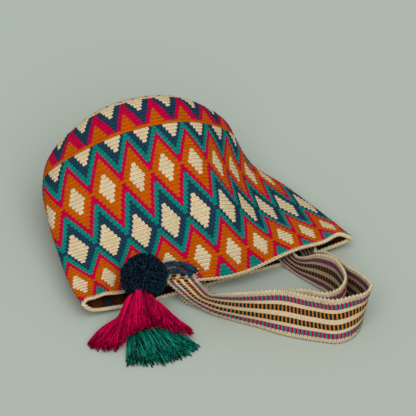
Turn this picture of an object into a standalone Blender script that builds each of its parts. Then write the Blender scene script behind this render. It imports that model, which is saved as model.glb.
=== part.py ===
"""Crocheted bucket bag lying on its side, with a woven strap, a braided cord, a pom-pom and two tassels.

Metres, +Z up. The bag lies on its lower wall, its round base behind and its flattened mouth in front.
The crocheted wall is a lines plan: eight lengthwise lines, each one an eighth of the round apart, given
at a few key rows. A place on the wall is a stitch round the bag and a row along it, counted from the
orange ring near the base towards the mouth.
"""
import math

import bmesh
import bpy
from mathutils import Vector

COLLECTION_NAME = "crocheted_bucket_bag"

# Crocheted wall
ROW_HEIGHT = 0.0050
STITCHES_PER_ROUND = 160
STITCH_LEAN = 0.415
MOUTH_ROW = 41.0
BASE_CENTRE_ROW = -26.5
BASE_MID_ROW = -17.5
BASE_MID_SHARE = 0.52
BASE_DOME = 2.2
FABRIC_THICKNESS = 0.0035
WALL_COLUMNS = 80
WALL_ROW_STEP = 2.0
BASE_RINGS = 5
EDGING_ROWS = 0.9
HEADING = math.radians(25.0)
MOUTH_SHIFT = Vector((0.0025, -0.0055, 0.0))

# Each line runs from the base to the mouth: its place across the bag, its lead over the lower wall
# towards the mouth, and its height.
KEY_ROWS = (-9.0, 0.0, 12.0, 24.0, 34.0, 41.0)
WALL_LINES = {
    "left_fold": (
        (-0.090, 0.033, 0.071), (-0.117, 0.020, 0.062), (-0.136, 0.014, 0.044),
        (-0.148, 0.010, 0.032), (-0.157, 0.005, 0.026), (-0.158, 0.002, 0.015),
    ),
    "left_shoulder": (
        (-0.039, 0.056, 0.124), (-0.048, 0.052, 0.116), (-0.060, 0.043, 0.088),
        (-0.063, 0.034, 0.053), (-0.074, 0.019, 0.039), (-0.078, -0.004, 0.021),
    ),
    "crest": (
        (0.038, 0.068, 0.126), (0.031, 0.069, 0.124), (0.020, 0.063, 0.107),
        (0.015, 0.060, 0.081), (0.015, 0.039, 0.049), (0.017, 0.022, 0.023),
    ),
    "right_shoulder": (
        (0.098, 0.058, 0.074), (0.098, 0.053, 0.076), (0.085, 0.046, 0.061),
        (0.088, 0.041, 0.046), (0.098, 0.028, 0.037), (0.104, 0.015, 0.030),
    ),
    "right_fold": (
        (0.093, 0.042, 0.030), (0.107, 0.033, 0.019), (0.141, 0.018, 0.014),
        (0.158, 0.013, 0.012), (0.166, 0.009, 0.014), (0.171, 0.006, 0.014),
    ),
    "right_belly": (
        (0.067, 0.008, 0.004), (0.085, -0.002, 0.000), (0.090, 0.000, 0.000),
        (0.090, 0.000, 0.000), (0.090, 0.000, 0.000), (0.090, 0.000, 0.000),
    ),
    "mid_belly": (
        (0.000, 0.002, 0.002), (0.002, 0.000, 0.000), (0.002, 0.000, 0.000),
        (0.003, 0.000, 0.000), (0.003, 0.000, 0.000), (0.004, 0.000, 0.000),
    ),
    "left_belly": (
        (-0.072, 0.010, 0.006), (-0.082, 0.000, 0.000), (-0.084, 0.000, 0.000),
        (-0.084, 0.000, 0.000), (-0.083, 0.000, 0.000), (-0.082, 0.000, 0.000),
    ),
}
BASE_CENTRE = Vector((0.004, -0.243, 0.062))

# The mouth stands open beside its folds: share of the round, width in shares and height of each swell
MOUTH_SWELLS = ((0.042, 0.028, 0.0085), (0.008, 0.018, 0.0100), (0.462, 0.026, 0.0085))
SWELL_FIRST_ROW = 27.0

# Colour chart of one repeat. Each zigzag line has a steep run in one column and a slanted run, both
# from the same stitch: yarn, column, row. Each field lies above the zigzag line that starts there.
REPEAT = 8
ZIGZAG_ROWS = 9
ZIGZAGS = (
    ("teal", 7, 0), ("magenta", 0, 2), ("magenta", 1, 12), ("teal", 2, 14),
    ("teal", 3, 24), ("magenta", 4, 26), ("magenta", 5, 36),
)
FIELDS = (("navy", 7, 0), ("orange", 1, 12), ("navy", 3, 24), ("orange", 5, 36))
# Slanted beige diamonds: first stitch, top row, and the rows of each column counted from the top row.
DIAMONDS = (
    (3, 8, ((0, 4), (1, 5), (2, 6), (3, 7))),
    (4, 18, ((1, 6), (2, 7), (3, 8), (4, 9), (5, 10))),
    (7, 32, ((0, 4), (1, 5), (2, 6), (3, 7))),
)
RING_ROW = -1
BASE_BAND_ROWS = 8
BASE_MARK_ROW = -11
BASE_MARK_PITCH = 4

SEAM_GAP = 0.0003

# Woven shoulder strap
STRAP_WIDTH = 0.056
STRAP_THICKNESS = 0.0030
STRAP_STEP = 0.008
STRAP_SEGMENTS_ACROSS = 4
STRAP_SEAT_STITCHES = (40.0, 48.5)
STRAP_SEAT_ROWS = (38.0, 39.6, 41.9)
# Lower border, reach of the upper border from it, and the share of the width that is not gathered.
STRAP_STATIONS = (
    ((-0.0470, -0.0383, 0.0277), (0.0343, 0.0079, -0.0022), 0.63),
    ((-0.0425, -0.0399, 0.0235), (0.0341, 0.0044, -0.0005), 0.61),
    ((-0.0330, -0.0441, 0.0177), (0.0299, -0.0084, 0.0094), 0.58),
    ((-0.0175, -0.0527, 0.0095), (0.0206, -0.0195, 0.0260), 0.69),
    ((0.0020, -0.0626, 0.0029), (0.0111, -0.0216, 0.0416), 0.86),
    ((0.0300, -0.0755, 0.0010), (0.001, -0.018, 0.051), 0.97),
    ((0.0550, -0.0870, 0.0010), (-0.003, -0.009, 0.054), 1.0),
    ((0.0800, -0.1005, 0.0010), (0.000, 0.007, 0.055), 1.0),
    ((0.1190, -0.1130, 0.0010), (-0.004, 0.008, 0.055), 1.0),
    ((0.1460, -0.1165, 0.0010), (-0.005, 0.005, 0.055), 1.0),
    ((0.1610, -0.1050, 0.0010), (-0.001, 0.000, 0.055), 1.0),
    ((0.1675, -0.0885, 0.0010), (0.006, -0.009, 0.054), 1.0),
    ((0.1690, -0.0720, 0.0010), (0.011, -0.011, 0.053), 1.0),
    ((0.1660, -0.0570, 0.0010), (0.011, -0.013, 0.052), 0.98),
    ((0.1600, -0.0440, 0.0010), (0.008, -0.013, 0.051), 0.97),
    ((0.1500, -0.0290, 0.0010), (0.004, -0.012, 0.050), 0.93),
    ((0.1400, -0.0160, 0.0010), (0.005, -0.009, 0.047), 0.87),
    ((0.1300, -0.0020, 0.0010), (0.007, -0.008, 0.042), 0.78),
    ((0.1220, 0.0100, 0.0010), (0.007, -0.002, 0.034), 0.62),
    ((0.1140, 0.0220, 0.0025), (0.006, 0.001, 0.022), 0.40),
    ((0.1070, 0.0340, 0.0080), (0.010, 0.006, 0.007), 0.30),
    ((0.1010, 0.0470, 0.0086), (0.011, 0.009, 0.008), 0.30),
    ((0.0920, 0.0540, 0.0080), (0.010, 0.010, 0.008), 0.30),
    ((0.0820, 0.0510, 0.0076), (0.009, 0.009, 0.009), 0.30),
    ((0.0770, 0.0400, 0.0070), (0.012, 0.005, 0.011), 0.32),
    ((0.0800, 0.0290, 0.0062), (0.013, 0.002, 0.013), 0.34),
    ((0.0910, 0.0190, 0.0025), (0.009, -0.006, 0.021), 0.43),
    ((0.1030, 0.0060, 0.0010), (0.006, -0.008, 0.034), 0.63),
    ((0.1170, -0.0080, 0.0010), (0.003, -0.004, 0.044), 0.80),
    ((0.1300, -0.0210, 0.0010), (0.001, -0.003, 0.052), 0.93),
    ((0.1410, -0.0360, 0.0010), (0.000, 0.000, 0.055), 1.0),
    ((0.1490, -0.0530, 0.0010), (0.001, -0.003, 0.055), 1.0),
    ((0.1510, -0.0690, 0.0010), (0.001, 0.000, 0.055), 1.0),
    ((0.1490, -0.0820, 0.0010), (0.001, 0.001, 0.055), 1.0),
    ((0.1430, -0.0940, 0.0010), (0.000, 0.001, 0.055), 1.0),
    ((0.1310, -0.1010, 0.0010), (0.001, 0.003, 0.055), 0.99),
    ((0.1090, -0.0985, 0.0010), (-0.002, 0.007, 0.055), 0.99),
    ((0.0800, -0.0890, 0.0010), (0.000, 0.000, 0.055), 0.93),
    ((0.0530, -0.0765, 0.0010), (-0.003, -0.0135, 0.052), 0.93),
    ((0.0290, -0.0655, 0.0010), (-0.003, -0.020, 0.046), 0.88),
    ((0.0100, -0.0565, 0.0015), (0.002, -0.015, 0.033), 0.62),
    ((-0.0070, -0.0515, 0.0025), (0.014, -0.003, 0.015), 0.50),
    ((-0.0240, -0.0455, 0.0030), (0.026, 0.009, 0.006), 0.54),
    ((-0.0330, -0.0320, 0.0055), (0.031, 0.013, 0.003), 0.60),
    ((-0.0380, -0.0200, 0.0078), (0.033, 0.014, 0.000), 0.64),
    ((-0.0410, -0.0080, 0.0062), (0.033, 0.014, 0.000), 0.66),
    ((-0.0450, 0.0060, 0.0056), (0.033, 0.014, 0.000), 0.68),
)

# Braided closing cord, two strands
CORD_DIAMETER = 0.0054
CORD_POINT_STEP = 0.010
UPPER_STRAND_ROUTE = (
    (-0.0488, -0.0382, 0.0484), (-0.0409, -0.0291, 0.0450), (-0.0323, -0.0237, 0.0409),
    (-0.0239, -0.0233, 0.0380), (-0.0171, -0.0266, 0.0366), (-0.0122, -0.0280, 0.0332),
)
LOWER_STRAND_ROUTE = (
    (-0.0475, -0.0415, 0.0429), (-0.0400, -0.0352, 0.0393), (-0.0367, -0.0297, 0.0360),
    (-0.0281, -0.0290, 0.0344), (-0.0204, -0.0293, 0.0323), (-0.0184, -0.0294, 0.0313),
)

# Pom-pom and tassels
POMPOM_DIAMETER = 0.051
POMPOM_CENTRE = Vector((-0.071, -0.0522, 0.0438))
POMPOM_LUMP = 0.0008
TASSEL_GAP = 0.0006
TASSEL_RINGS = 9
TASSEL_SPOKES = 30
TASSEL_RIDGE = 0.0012
INNER_TASSEL_NECK = Vector((-0.075, -0.080, 0.000))
INNER_TASSEL_NECK_RADIUS = 0.014
INNER_TASSEL_FAN = (-92.0, -42.0)
INNER_TASSEL_LENGTHS = (0.075, 0.080, 0.083, 0.083, 0.080, 0.074)
INNER_TASSEL_THICKNESS = (0.013, 0.010)
OUTER_TASSEL_NECK = Vector((-0.0755, -0.0779, 0.0208))
OUTER_TASSEL_NECK_RADIUS = 0.016
OUTER_TASSEL_FAN = (-134.0, -33.0)
OUTER_TASSEL_LENGTHS = (0.060, 0.063, 0.055, 0.037, 0.033, 0.038, 0.058, 0.053)
OUTER_TASSEL_THICKNESS = (0.011, 0.011)

COLOURS = {
    "orange": (0.55, 0.13, 0.012),
    "magenta": (0.52, 0.006, 0.06),
    "teal": (0.008, 0.27, 0.20),
    "navy": (0.018, 0.045, 0.095),
    "beige": (0.72, 0.56, 0.38),
    "pompom_navy": (0.006, 0.012, 0.030),
    "tassel_green": (0.006, 0.10, 0.062),
}
CHART_COLOURS = ("orange", "magenta", "teal", "navy", "beige")


def clear_scene():
    """Remove every object of the open scene."""
    for obj in list(bpy.data.objects):
        bpy.data.objects.remove(obj, do_unlink=True)


def material(name, roughness=0.85):
    """Principled material of one of the bag's yarn colours."""
    mat = bpy.data.materials.get(name)
    if mat is None:
        mat = bpy.data.materials.new(name)
        mat.use_nodes = True
        shader = mat.node_tree.nodes["Principled BSDF"]
        shader.inputs["Base Color"].default_value = (*COLOURS[name], 1.0)
        shader.inputs["Roughness"].default_value = roughness
        shader.inputs["Metallic"].default_value = 0.0
    return mat


def chain_slope(points, knots, k):
    """Slope of a chain of points at one of them, for uneven knots."""
    last = len(points) - 1
    if k == 0:
        return (points[1] - points[0]) / (knots[1] - knots[0])
    if k == last:
        return (points[last] - points[last - 1]) / (knots[last] - knots[last - 1])
    before = knots[k] - knots[k - 1]
    after = knots[k + 1] - knots[k]
    slope_before = (points[k] - points[k - 1]) / before
    slope_after = (points[k + 1] - points[k]) / after
    return (slope_before * after + slope_after * before) / (before + after)


def spline_point(points, knots, at):
    """Point of a smooth chain that passes each point at its knot."""
    k = 0
    while k < len(points) - 2 and at > knots[k + 1]:
        k += 1
    span = knots[k + 1] - knots[k]
    t = (at - knots[k]) / span
    start = chain_slope(points, knots, k) * span
    finish = chain_slope(points, knots, k + 1) * span
    t2 = t * t
    t3 = t2 * t
    return (
        points[k] * (2 * t3 - 3 * t2 + 1)
        + start * (t3 - 2 * t2 + t)
        + points[k + 1] * (3 * t2 - 2 * t3)
        + finish * (t3 - t2)
    )


def smooth_route(points, step):
    """Points about one step apart on a smooth curve through a route, and the knots of the route's points."""
    knots = [0.0]
    for a, b in zip(points, points[1:]):
        knots.append(knots[-1] + (b - a).length)
    count = max(2, round(knots[-1] / step))
    places = [knots[-1] * i / count for i in range(count + 1)]
    return [spline_point(points, knots, p) for p in places], places, knots


class Wall:
    """The crocheted wall as a smooth surface over stitches and rows."""

    def __init__(self):
        rings = []
        for k, row in enumerate(KEY_ROWS):
            ring = []
            for line in WALL_LINES.values():
                across, lead, height = line[k]
                ring.append(Vector((across, (row - MOUTH_ROW) * ROW_HEIGHT + lead, height)))
            rings.append(ring)
        mid = []
        for point in rings[0]:
            inner = BASE_CENTRE.lerp(point, BASE_MID_SHARE)
            inner.y = BASE_CENTRE.y + (point.y - BASE_CENTRE.y) * BASE_MID_SHARE ** BASE_DOME
            mid.append(inner)
        self.rings = [[BASE_CENTRE] * len(rings[0]), mid] + rings
        self.rows = [BASE_CENTRE_ROW, BASE_MID_ROW] + list(KEY_ROWS)
        self.sections = {}

    def cage(self, row):
        """The eight line points at a row."""
        lines = range(len(WALL_LINES))
        return [spline_point([ring[i] for ring in self.rings], self.rows, row) for i in lines]

    def section(self, row):
        """A closed round of the wall at a row, as a list of points one stitch apart."""
        if row in self.sections:
            return self.sections[row]
        cage = self.cage(row)
        count = len(cage)
        stitches = STITCHES_PER_ROUND // count
        fine = 2 * stitches
        points = []
        for i in range(count):
            a, b, c, d = (cage[(i + k) % count] for k in (-1, 0, 1, 2))
            piece = []
            for j in range(fine + 1):
                t = j / fine
                point = (
                    2 * b + (c - a) * t + (2 * a - 5 * b + 4 * c - d) * t * t
                    + (3 * b - a - 3 * c + d) * t ** 3
                ) * 0.5
                piece.append(point)
            lengths = [0.0]
            for p, q in zip(piece, piece[1:]):
                lengths.append(lengths[-1] + (q - p).length)
            j = 0
            for s in range(stitches):
                want = lengths[-1] * s / stitches
                while j < fine - 1 and lengths[j + 1] < want:
                    j += 1
                span = lengths[j + 1] - lengths[j]
                t = (want - lengths[j]) / span if span > 0 else 0.0
                points.append(piece[j].lerp(piece[j + 1], t))
        for i, point in enumerate(points):
            point.z = max(point.z, 0.0) + mouth_swell(i / STITCHES_PER_ROUND, row)
        self.sections[row] = points
        return points

    def place(self, share, row):
        """Point of the outer surface at a share of the round from the left fold, at a row."""
        points = self.section(row)
        at = (share % 1.0) * STITCHES_PER_ROUND
        i = int(at) % STITCHES_PER_ROUND
        local = points[i].lerp(points[(i + 1) % STITCHES_PER_ROUND], at - int(at))
        return to_world(local)

    def normal(self, share, row):
        """Outward normal at a share of the round and a row."""
        step = 1.5 / STITCHES_PER_ROUND
        round_way = self.place(share + step, row) - self.place(share - step, row)
        row_way = self.place(share, min(row + 1.0, MOUTH_ROW)) - self.place(share, row - 1.0)
        return round_way.cross(row_way).normalized() * -1.0


def mouth_swell(share, row):
    """Height that the open corners of the mouth add to the wall."""
    rise = min(1.0, max(0.0, (row - SWELL_FIRST_ROW) / (MOUTH_ROW - SWELL_FIRST_ROW)))
    total = 0.0
    for place, width, height in MOUTH_SWELLS:
        away = ((share - place + 0.5) % 1.0 - 0.5) / width
        total += height * math.exp(-away * away)
    return total * rise * rise


def to_world(local):
    """Turn a place across, along and above the bag into world axes."""
    cos = math.cos(HEADING)
    sin = math.sin(HEADING)
    return Vector((
        MOUTH_SHIFT.x + local.x * cos + local.y * sin,
        MOUTH_SHIFT.y + local.x * sin - local.y * cos,
        local.z,
    ))


def on_zigzag(stitch, row, column, start):
    """True on a zigzag line, on its steep run or on its slanted one."""
    down = row - start
    if not 0 <= down < ZIGZAG_ROWS:
        return False
    return stitch == column or stitch == (column + down) % REPEAT


def in_diamond(stitch, row, first_stitch, top, spans):
    """True inside a slanted diamond."""
    column = (stitch - first_stitch) % REPEAT
    return column < len(spans) and spans[column][0] <= row - top < spans[column][1]


def base_band_colour(stitch, up):
    """Yarn colour between the ring and the base, counted in rows up from the ring."""
    column = (stitch - 5) % REPEAT
    if up >= BASE_BAND_ROWS:
        return "beige"
    if 1 <= column <= 4 - up:
        return "orange"
    if column <= max(0, 6 - up):
        return "magenta"
    return "navy" if column <= 8 - up or column >= 6 else "beige"


def chart_colour(stitch, row):
    """Yarn colour of the stitch at a place on the wall."""
    i = int(stitch) % REPEAT
    r = math.floor(row)
    if row > MOUTH_ROW:
        return "beige"
    if r == BASE_MARK_ROW and i % BASE_MARK_PITCH == 0:
        return "teal"
    if r < RING_ROW:
        return base_band_colour(i, RING_ROW - 1 - r)
    if r == RING_ROW:
        return "orange"
    for colour, column, start in ZIGZAGS:
        if on_zigzag(i, r, column, start):
            return colour
    if any(in_diamond(i, r, *diamond) for diamond in DIAMONDS) or 2 + r <= i <= 5:
        return "beige"
    for colour, column, start in FIELDS:
        if r < start + (i - column) % REPEAT:
            return colour
    return "teal"


def add_mesh(name, verts, faces, collection, materials, face_materials=None, smooth=True):
    """Make a mesh object from a loft's points."""
    mesh = bpy.data.meshes.new(name)
    mesh.from_pydata([tuple(v) for v in verts], [], faces)
    for mat in materials:
        mesh.materials.append(mat)
    if face_materials:
        mesh.polygons.foreach_set("material_index", face_materials)
    mesh.update()
    obj = bpy.data.objects.new(name, mesh)
    collection.objects.link(obj)
    if smooth:
        mesh.shade_smooth()
    return obj


def wall_rows():
    """Rows of the wall's rings: a few over the round base, then evenly to the mouth, then the edging."""
    start = KEY_ROWS[0]
    rows = [BASE_CENTRE_ROW + (start - BASE_CENTRE_ROW) * k / BASE_RINGS for k in range(1, BASE_RINGS)]
    count = round((MOUTH_ROW - start) / WALL_ROW_STEP)
    rows += [start + (MOUTH_ROW - start) * k / count for k in range(count + 1)]
    return rows + [MOUTH_ROW + EDGING_ROWS]


def make_bag_body(wall, collection):
    """The crocheted bag: a lofted wall, closed at the base and open at the mouth, given its thickness."""
    rows = wall_rows()
    verts = [wall.place(0.0, BASE_CENTRE_ROW)]
    for row in rows:
        for c in range(WALL_COLUMNS):
            verts.append(wall.place(c / WALL_COLUMNS, row))
    names = list(CHART_COLOURS)
    faces = []
    colours = []
    for c in range(WALL_COLUMNS):
        faces.append((0, 1 + c, 1 + (c + 1) % WALL_COLUMNS))
        colours.append(names.index("beige"))
    for k in range(len(rows) - 1):
        middle_row = 0.5 * (rows[k] + rows[k + 1])
        low = 1 + k * WALL_COLUMNS
        high = low + WALL_COLUMNS
        for c in range(WALL_COLUMNS):
            n = (c + 1) % WALL_COLUMNS
            faces.append((low + c, high + c, high + n, low + n))
            stitch = (c + 0.5) / WALL_COLUMNS * STITCHES_PER_ROUND + STITCH_LEAN * middle_row
            colours.append(names.index(chart_colour(stitch, middle_row)))
    obj = add_mesh("bag_body", verts, faces, collection, [material(n) for n in names], colours)
    shell = obj.modifiers.new("fabric", "SOLIDIFY")
    shell.thickness = FABRIC_THICKNESS
    shell.offset = -1.0
    return obj


def strap_rails(wall):
    """The strap's lower and upper border, from the seat on the upper wall to the end in the mouth."""
    lift = SEAM_GAP + STRAP_THICKNESS / 2
    low = []
    high = []
    for row in STRAP_SEAT_ROWS:
        for stitch, rail in zip(STRAP_SEAT_STITCHES, (low, high)):
            share = (stitch - STITCH_LEAN * row) / STITCHES_PER_ROUND
            rail.append(wall.place(share, row) + wall.normal(share, row) * lift)
    for foot, reach, spread in STRAP_STATIONS:
        start = Vector(foot)
        low.append(start)
        high.append(start + Vector(reach).normalized() * STRAP_WIDTH * spread)
    return low, high


def make_shoulder_strap(wall, collection):
    """The woven strap, one long band."""
    low, high = strap_rails(wall)
    middle = [a.lerp(b, 0.5) for a, b in zip(low, high)]
    _, places, knots = smooth_route(middle, STRAP_STEP)
    verts = []
    across = STRAP_SEGMENTS_ACROSS
    for at in places:
        a = spline_point(low, knots, at)
        b = spline_point(high, knots, at)
        for j in range(across + 1):
            verts.append(a.lerp(b, j / across))
    faces = []
    width = across + 1
    for k in range(len(places) - 1):
        for j in range(across):
            i = k * width + j
            faces.append((i, i + width, i + width + 1, i + 1))
    obj = add_mesh("shoulder_strap", verts, faces, collection, [material("beige")])
    band = obj.modifiers.new("weave", "SOLIDIFY")
    band.thickness = STRAP_THICKNESS
    band.offset = 0.0
    return obj


def make_strand(name, route, collection):
    """One strand of the braided cord."""
    points, _, _ = smooth_route([Vector(p) for p in route], CORD_POINT_STEP)
    curve = bpy.data.curves.new(name, "CURVE")
    curve.dimensions = "3D"
    curve.bevel_depth = CORD_DIAMETER / 2
    curve.bevel_resolution = 2
    curve.use_fill_caps = True
    spline = curve.splines.new("POLY")
    spline.points.add(len(points) - 1)
    for i, point in enumerate(points):
        spline.points[i].co = (*point, 1.0)
    curve.materials.append(material("navy"))
    obj = bpy.data.objects.new(name, curve)
    collection.objects.link(obj)
    return obj


def make_pompom(collection):
    """The cut yarn ball, a little uneven."""
    mesh = bpy.data.meshes.new("pompom")
    bm = bmesh.new()
    bmesh.ops.create_icosphere(bm, subdivisions=3, radius=POMPOM_DIAMETER / 2)
    for vert in bm.verts:
        d = vert.co.normalized()
        lump = math.sin(9 * d.x + 2) * math.sin(8 * d.y + 1) + math.sin(10 * d.z)
        vert.co -= d * POMPOM_LUMP * (1.0 - 0.5 * lump)
    bm.to_mesh(mesh)
    bm.free()
    mesh.materials.append(material("pompom_navy", 0.95))
    mesh.shade_smooth()
    obj = bpy.data.objects.new("pompom", mesh)
    obj.location = POMPOM_CENTRE
    collection.objects.link(obj)
    return obj


class Tassel:
    """A yarn skirt that spreads from its neck and lies down: a fan of spokes with ridges."""

    def __init__(self, neck, neck_radius, fan, lengths, thickness, floor):
        self.neck = neck
        self.neck_radius = neck_radius
        self.fan = fan
        self.lengths = [Vector((length, 0.0, 0.0)) for length in lengths]
        self.thickness = thickness
        self.floor = floor

    def reach(self, spoke_share):
        """Length of the skirt along a spoke."""
        knots = list(range(len(self.lengths)))
        return spline_point(self.lengths, knots, spoke_share * knots[-1]).x

    def column(self, spoke_share, ring_share):
        """Plan place, underside and upper side of the skirt."""
        middle = 0.5 * (self.fan[0] + self.fan[1])
        angle = math.radians(self.fan[0] + (self.fan[1] - self.fan[0]) * spoke_share)
        side = math.radians(middle) + math.pi / 2
        offset = (spoke_share - 0.5) * 2 * self.neck_radius
        distance = self.reach(spoke_share) * ring_share
        x = self.neck.x + math.cos(side) * offset + math.cos(angle) * distance
        y = self.neck.y + math.sin(side) * offset + math.sin(angle) * distance
        edge = math.sqrt(max(0.0, 1.0 - (2 * spoke_share - 1) ** 4))
        thick = self.thickness[0] + (self.thickness[1] - self.thickness[0]) * ring_share ** 0.7
        ridge = TASSEL_RIDGE * math.cos(spoke_share * math.pi * 14)
        drop = (1 - ring_share) ** 2
        low = self.floor(x, y) + self.neck.z * drop
        high = low + thick * (0.35 + 0.65 * edge) + ridge * edge
        return x, y, low, high


def tassel_mesh(name, tassel, collection, mat):
    """Closed skirt from its upper and lower sheets."""
    rows = TASSEL_RINGS + 1
    cols = TASSEL_SPOKES + 1
    top = []
    bottom = []
    for k in range(rows):
        for c in range(cols):
            x, y, low, high = tassel.column(c / TASSEL_SPOKES, k / TASSEL_RINGS)
            top.append(Vector((x, y, high)))
            bottom.append(Vector((x, y, low)))
    verts = top + bottom
    shift = len(top)
    faces = []
    for k in range(rows - 1):
        for c in range(cols - 1):
            i = k * cols + c
            faces.append((i, i + cols, i + cols + 1, i + 1))
            faces.append((shift + i, shift + i + 1, shift + i + cols + 1, shift + i + cols))
    outline = [c for c in range(cols)]
    outline += [k * cols + cols - 1 for k in range(1, rows)]
    outline += [(rows - 1) * cols + c for c in range(cols - 2, -1, -1)]
    outline += [k * cols for k in range(rows - 2, 0, -1)]
    for a, b in zip(outline, outline[1:] + outline[:1]):
        faces.append((a, b, shift + b, shift + a))
    return add_mesh(name, verts, faces, collection, [mat])


def make_tassels(collection):
    """The green tassel on the surface, and the magenta one over it."""
    inner = Tassel(
        INNER_TASSEL_NECK, INNER_TASSEL_NECK_RADIUS, INNER_TASSEL_FAN, INNER_TASSEL_LENGTHS,
        INNER_TASSEL_THICKNESS, lambda x, y: 0.0,
    )
    samples = []
    for k in range(2 * TASSEL_RINGS + 1):
        for c in range(2 * TASSEL_SPOKES + 1):
            x, y, _, high = inner.column(c / (2 * TASSEL_SPOKES), k / (2 * TASSEL_RINGS))
            samples.append((x, y, high))

    def over_inner(x, y):
        height = 0.0
        for sx, sy, high in samples:
            near = math.hypot(x - sx, y - sy)
            if near < 0.012:
                fade = min(1.0, (0.012 - near) / 0.005)
                height = max(height, (high + TASSEL_GAP) * fade)
        return height

    outer = Tassel(
        OUTER_TASSEL_NECK, OUTER_TASSEL_NECK_RADIUS, OUTER_TASSEL_FAN, OUTER_TASSEL_LENGTHS,
        OUTER_TASSEL_THICKNESS, over_inner,
    )
    return [
        tassel_mesh("tassel_inner", inner, collection, material("tassel_green", 0.9)),
        tassel_mesh("tassel_outer", outer, collection, material("magenta", 0.9)),
    ]


def stand_at_origin(frame_objects, all_objects):
    """Move everything so that the bag and strap stand with their box's bottom centre at the origin."""
    bpy.context.view_layer.update()
    graph = bpy.context.evaluated_depsgraph_get()
    corners = []
    for obj in frame_objects:
        mesh = obj.evaluated_get(graph).to_mesh()
        corners.extend(obj.matrix_world @ v.co for v in mesh.vertices)
    low = [min(c[k] for c in corners) for k in range(3)]
    high = [max(c[k] for c in corners) for k in range(3)]
    shift = Vector(((low[0] + high[0]) / 2, (low[1] + high[1]) / 2, low[2]))
    for obj in all_objects:
        obj.location = obj.location - shift
    bpy.context.view_layer.update()


def main():
    """Build the bag."""
    clear_scene()
    collection = bpy.data.collections.new(COLLECTION_NAME)
    bpy.context.scene.collection.children.link(collection)
    wall = Wall()
    body = make_bag_body(wall, collection)
    strap = make_shoulder_strap(wall, collection)
    strands = [
        make_strand("cord_upper_strand", UPPER_STRAND_ROUTE, collection),
        make_strand("cord_lower_strand", LOWER_STRAND_ROUTE, collection),
    ]
    pompom = make_pompom(collection)
    tassels = make_tassels(collection)
    stand_at_origin([body, strap], [body, strap, pompom] + strands + tassels)


main()
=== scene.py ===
"""Looks of a crocheted bucket bag on its side: stitches, woven strap, braid, pom-pom and fringe.

Metres, +Z up. Shapes are worked out in a drawing frame, whose origin lies near the middle of the bag's
mouth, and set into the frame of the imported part, whose origin is the bottom centre of the bag and strap.
A place on the bag's wall is a stitch round the bag and a row along it, counted from the orange ring near
the base towards the mouth.
"""

import logging
import math
from dataclasses import dataclass, field
from enum import Enum

import bpy
import numpy as np
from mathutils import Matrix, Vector


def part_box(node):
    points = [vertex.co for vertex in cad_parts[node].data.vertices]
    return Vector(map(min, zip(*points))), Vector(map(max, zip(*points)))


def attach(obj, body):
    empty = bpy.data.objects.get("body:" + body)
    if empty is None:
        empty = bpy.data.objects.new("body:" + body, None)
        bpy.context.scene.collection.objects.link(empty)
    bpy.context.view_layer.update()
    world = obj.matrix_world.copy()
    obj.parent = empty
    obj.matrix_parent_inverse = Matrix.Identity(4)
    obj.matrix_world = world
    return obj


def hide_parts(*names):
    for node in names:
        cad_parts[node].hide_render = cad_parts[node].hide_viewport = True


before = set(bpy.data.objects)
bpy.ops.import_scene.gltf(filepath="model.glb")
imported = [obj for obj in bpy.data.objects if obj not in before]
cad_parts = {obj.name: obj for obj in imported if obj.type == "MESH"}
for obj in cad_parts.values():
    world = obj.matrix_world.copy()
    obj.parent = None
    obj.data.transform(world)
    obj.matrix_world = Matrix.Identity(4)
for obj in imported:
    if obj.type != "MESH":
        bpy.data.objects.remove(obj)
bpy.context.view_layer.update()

log = logging.getLogger("bucket_bag")

Colour = tuple[float, float, float]
Point = tuple[float, float, float]
Array = np.ndarray
Material = bpy.types.Material
Node = bpy.types.Node
Object = bpy.types.Object
Socket = bpy.types.NodeSocket
BODY = "root"
STITCH_MAP = "stitches"
SEAM_GAP = 0.0003
FLOOR_CLEARANCE = 0.0002
DOME_POWER = 2.4
NEARLY = 1e-6
MIX_SHARE, MIX_FIRST, MIX_SECOND, MIX_RESULT = 0, 6, 7, 2


def display(code: str) -> Colour:
    """Turn a colour as a screen shows it into linear light.

    Args:
        code: Red, green and blue, two hexadecimal digits each.

    Returns:
        The colour in linear light.
    """
    def linear(level: int) -> float:
        """One channel in linear light."""
        share = level / 255.0
        return share / 12.92 if share <= 0.04045 else ((share + 0.055) / 1.055) ** 2.4

    red, green, blue = bytes.fromhex(code)
    return linear(red), linear(green), linear(blue)


class Yarn(Enum):
    """Yarns of the bag, numbered as the material slots of a many-coloured piece."""

    ORANGE = 0
    MAGENTA = 1
    TEAL = 2
    NAVY = 3
    BEIGE = 4
    # The strap's back: plum is partly its own mixed purple and partly painted shade; brown and dull are
    # orange and beige darkened as painted shade.
    SHADED_PLUM = 5
    SHADED_ORANGE = 6
    BORDER = 7
    # The hole yarn paints the shade in the small holes beside the strap's borders.
    HOLE_SHADE = 8
    SHADED_BEIGE = 9


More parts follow.
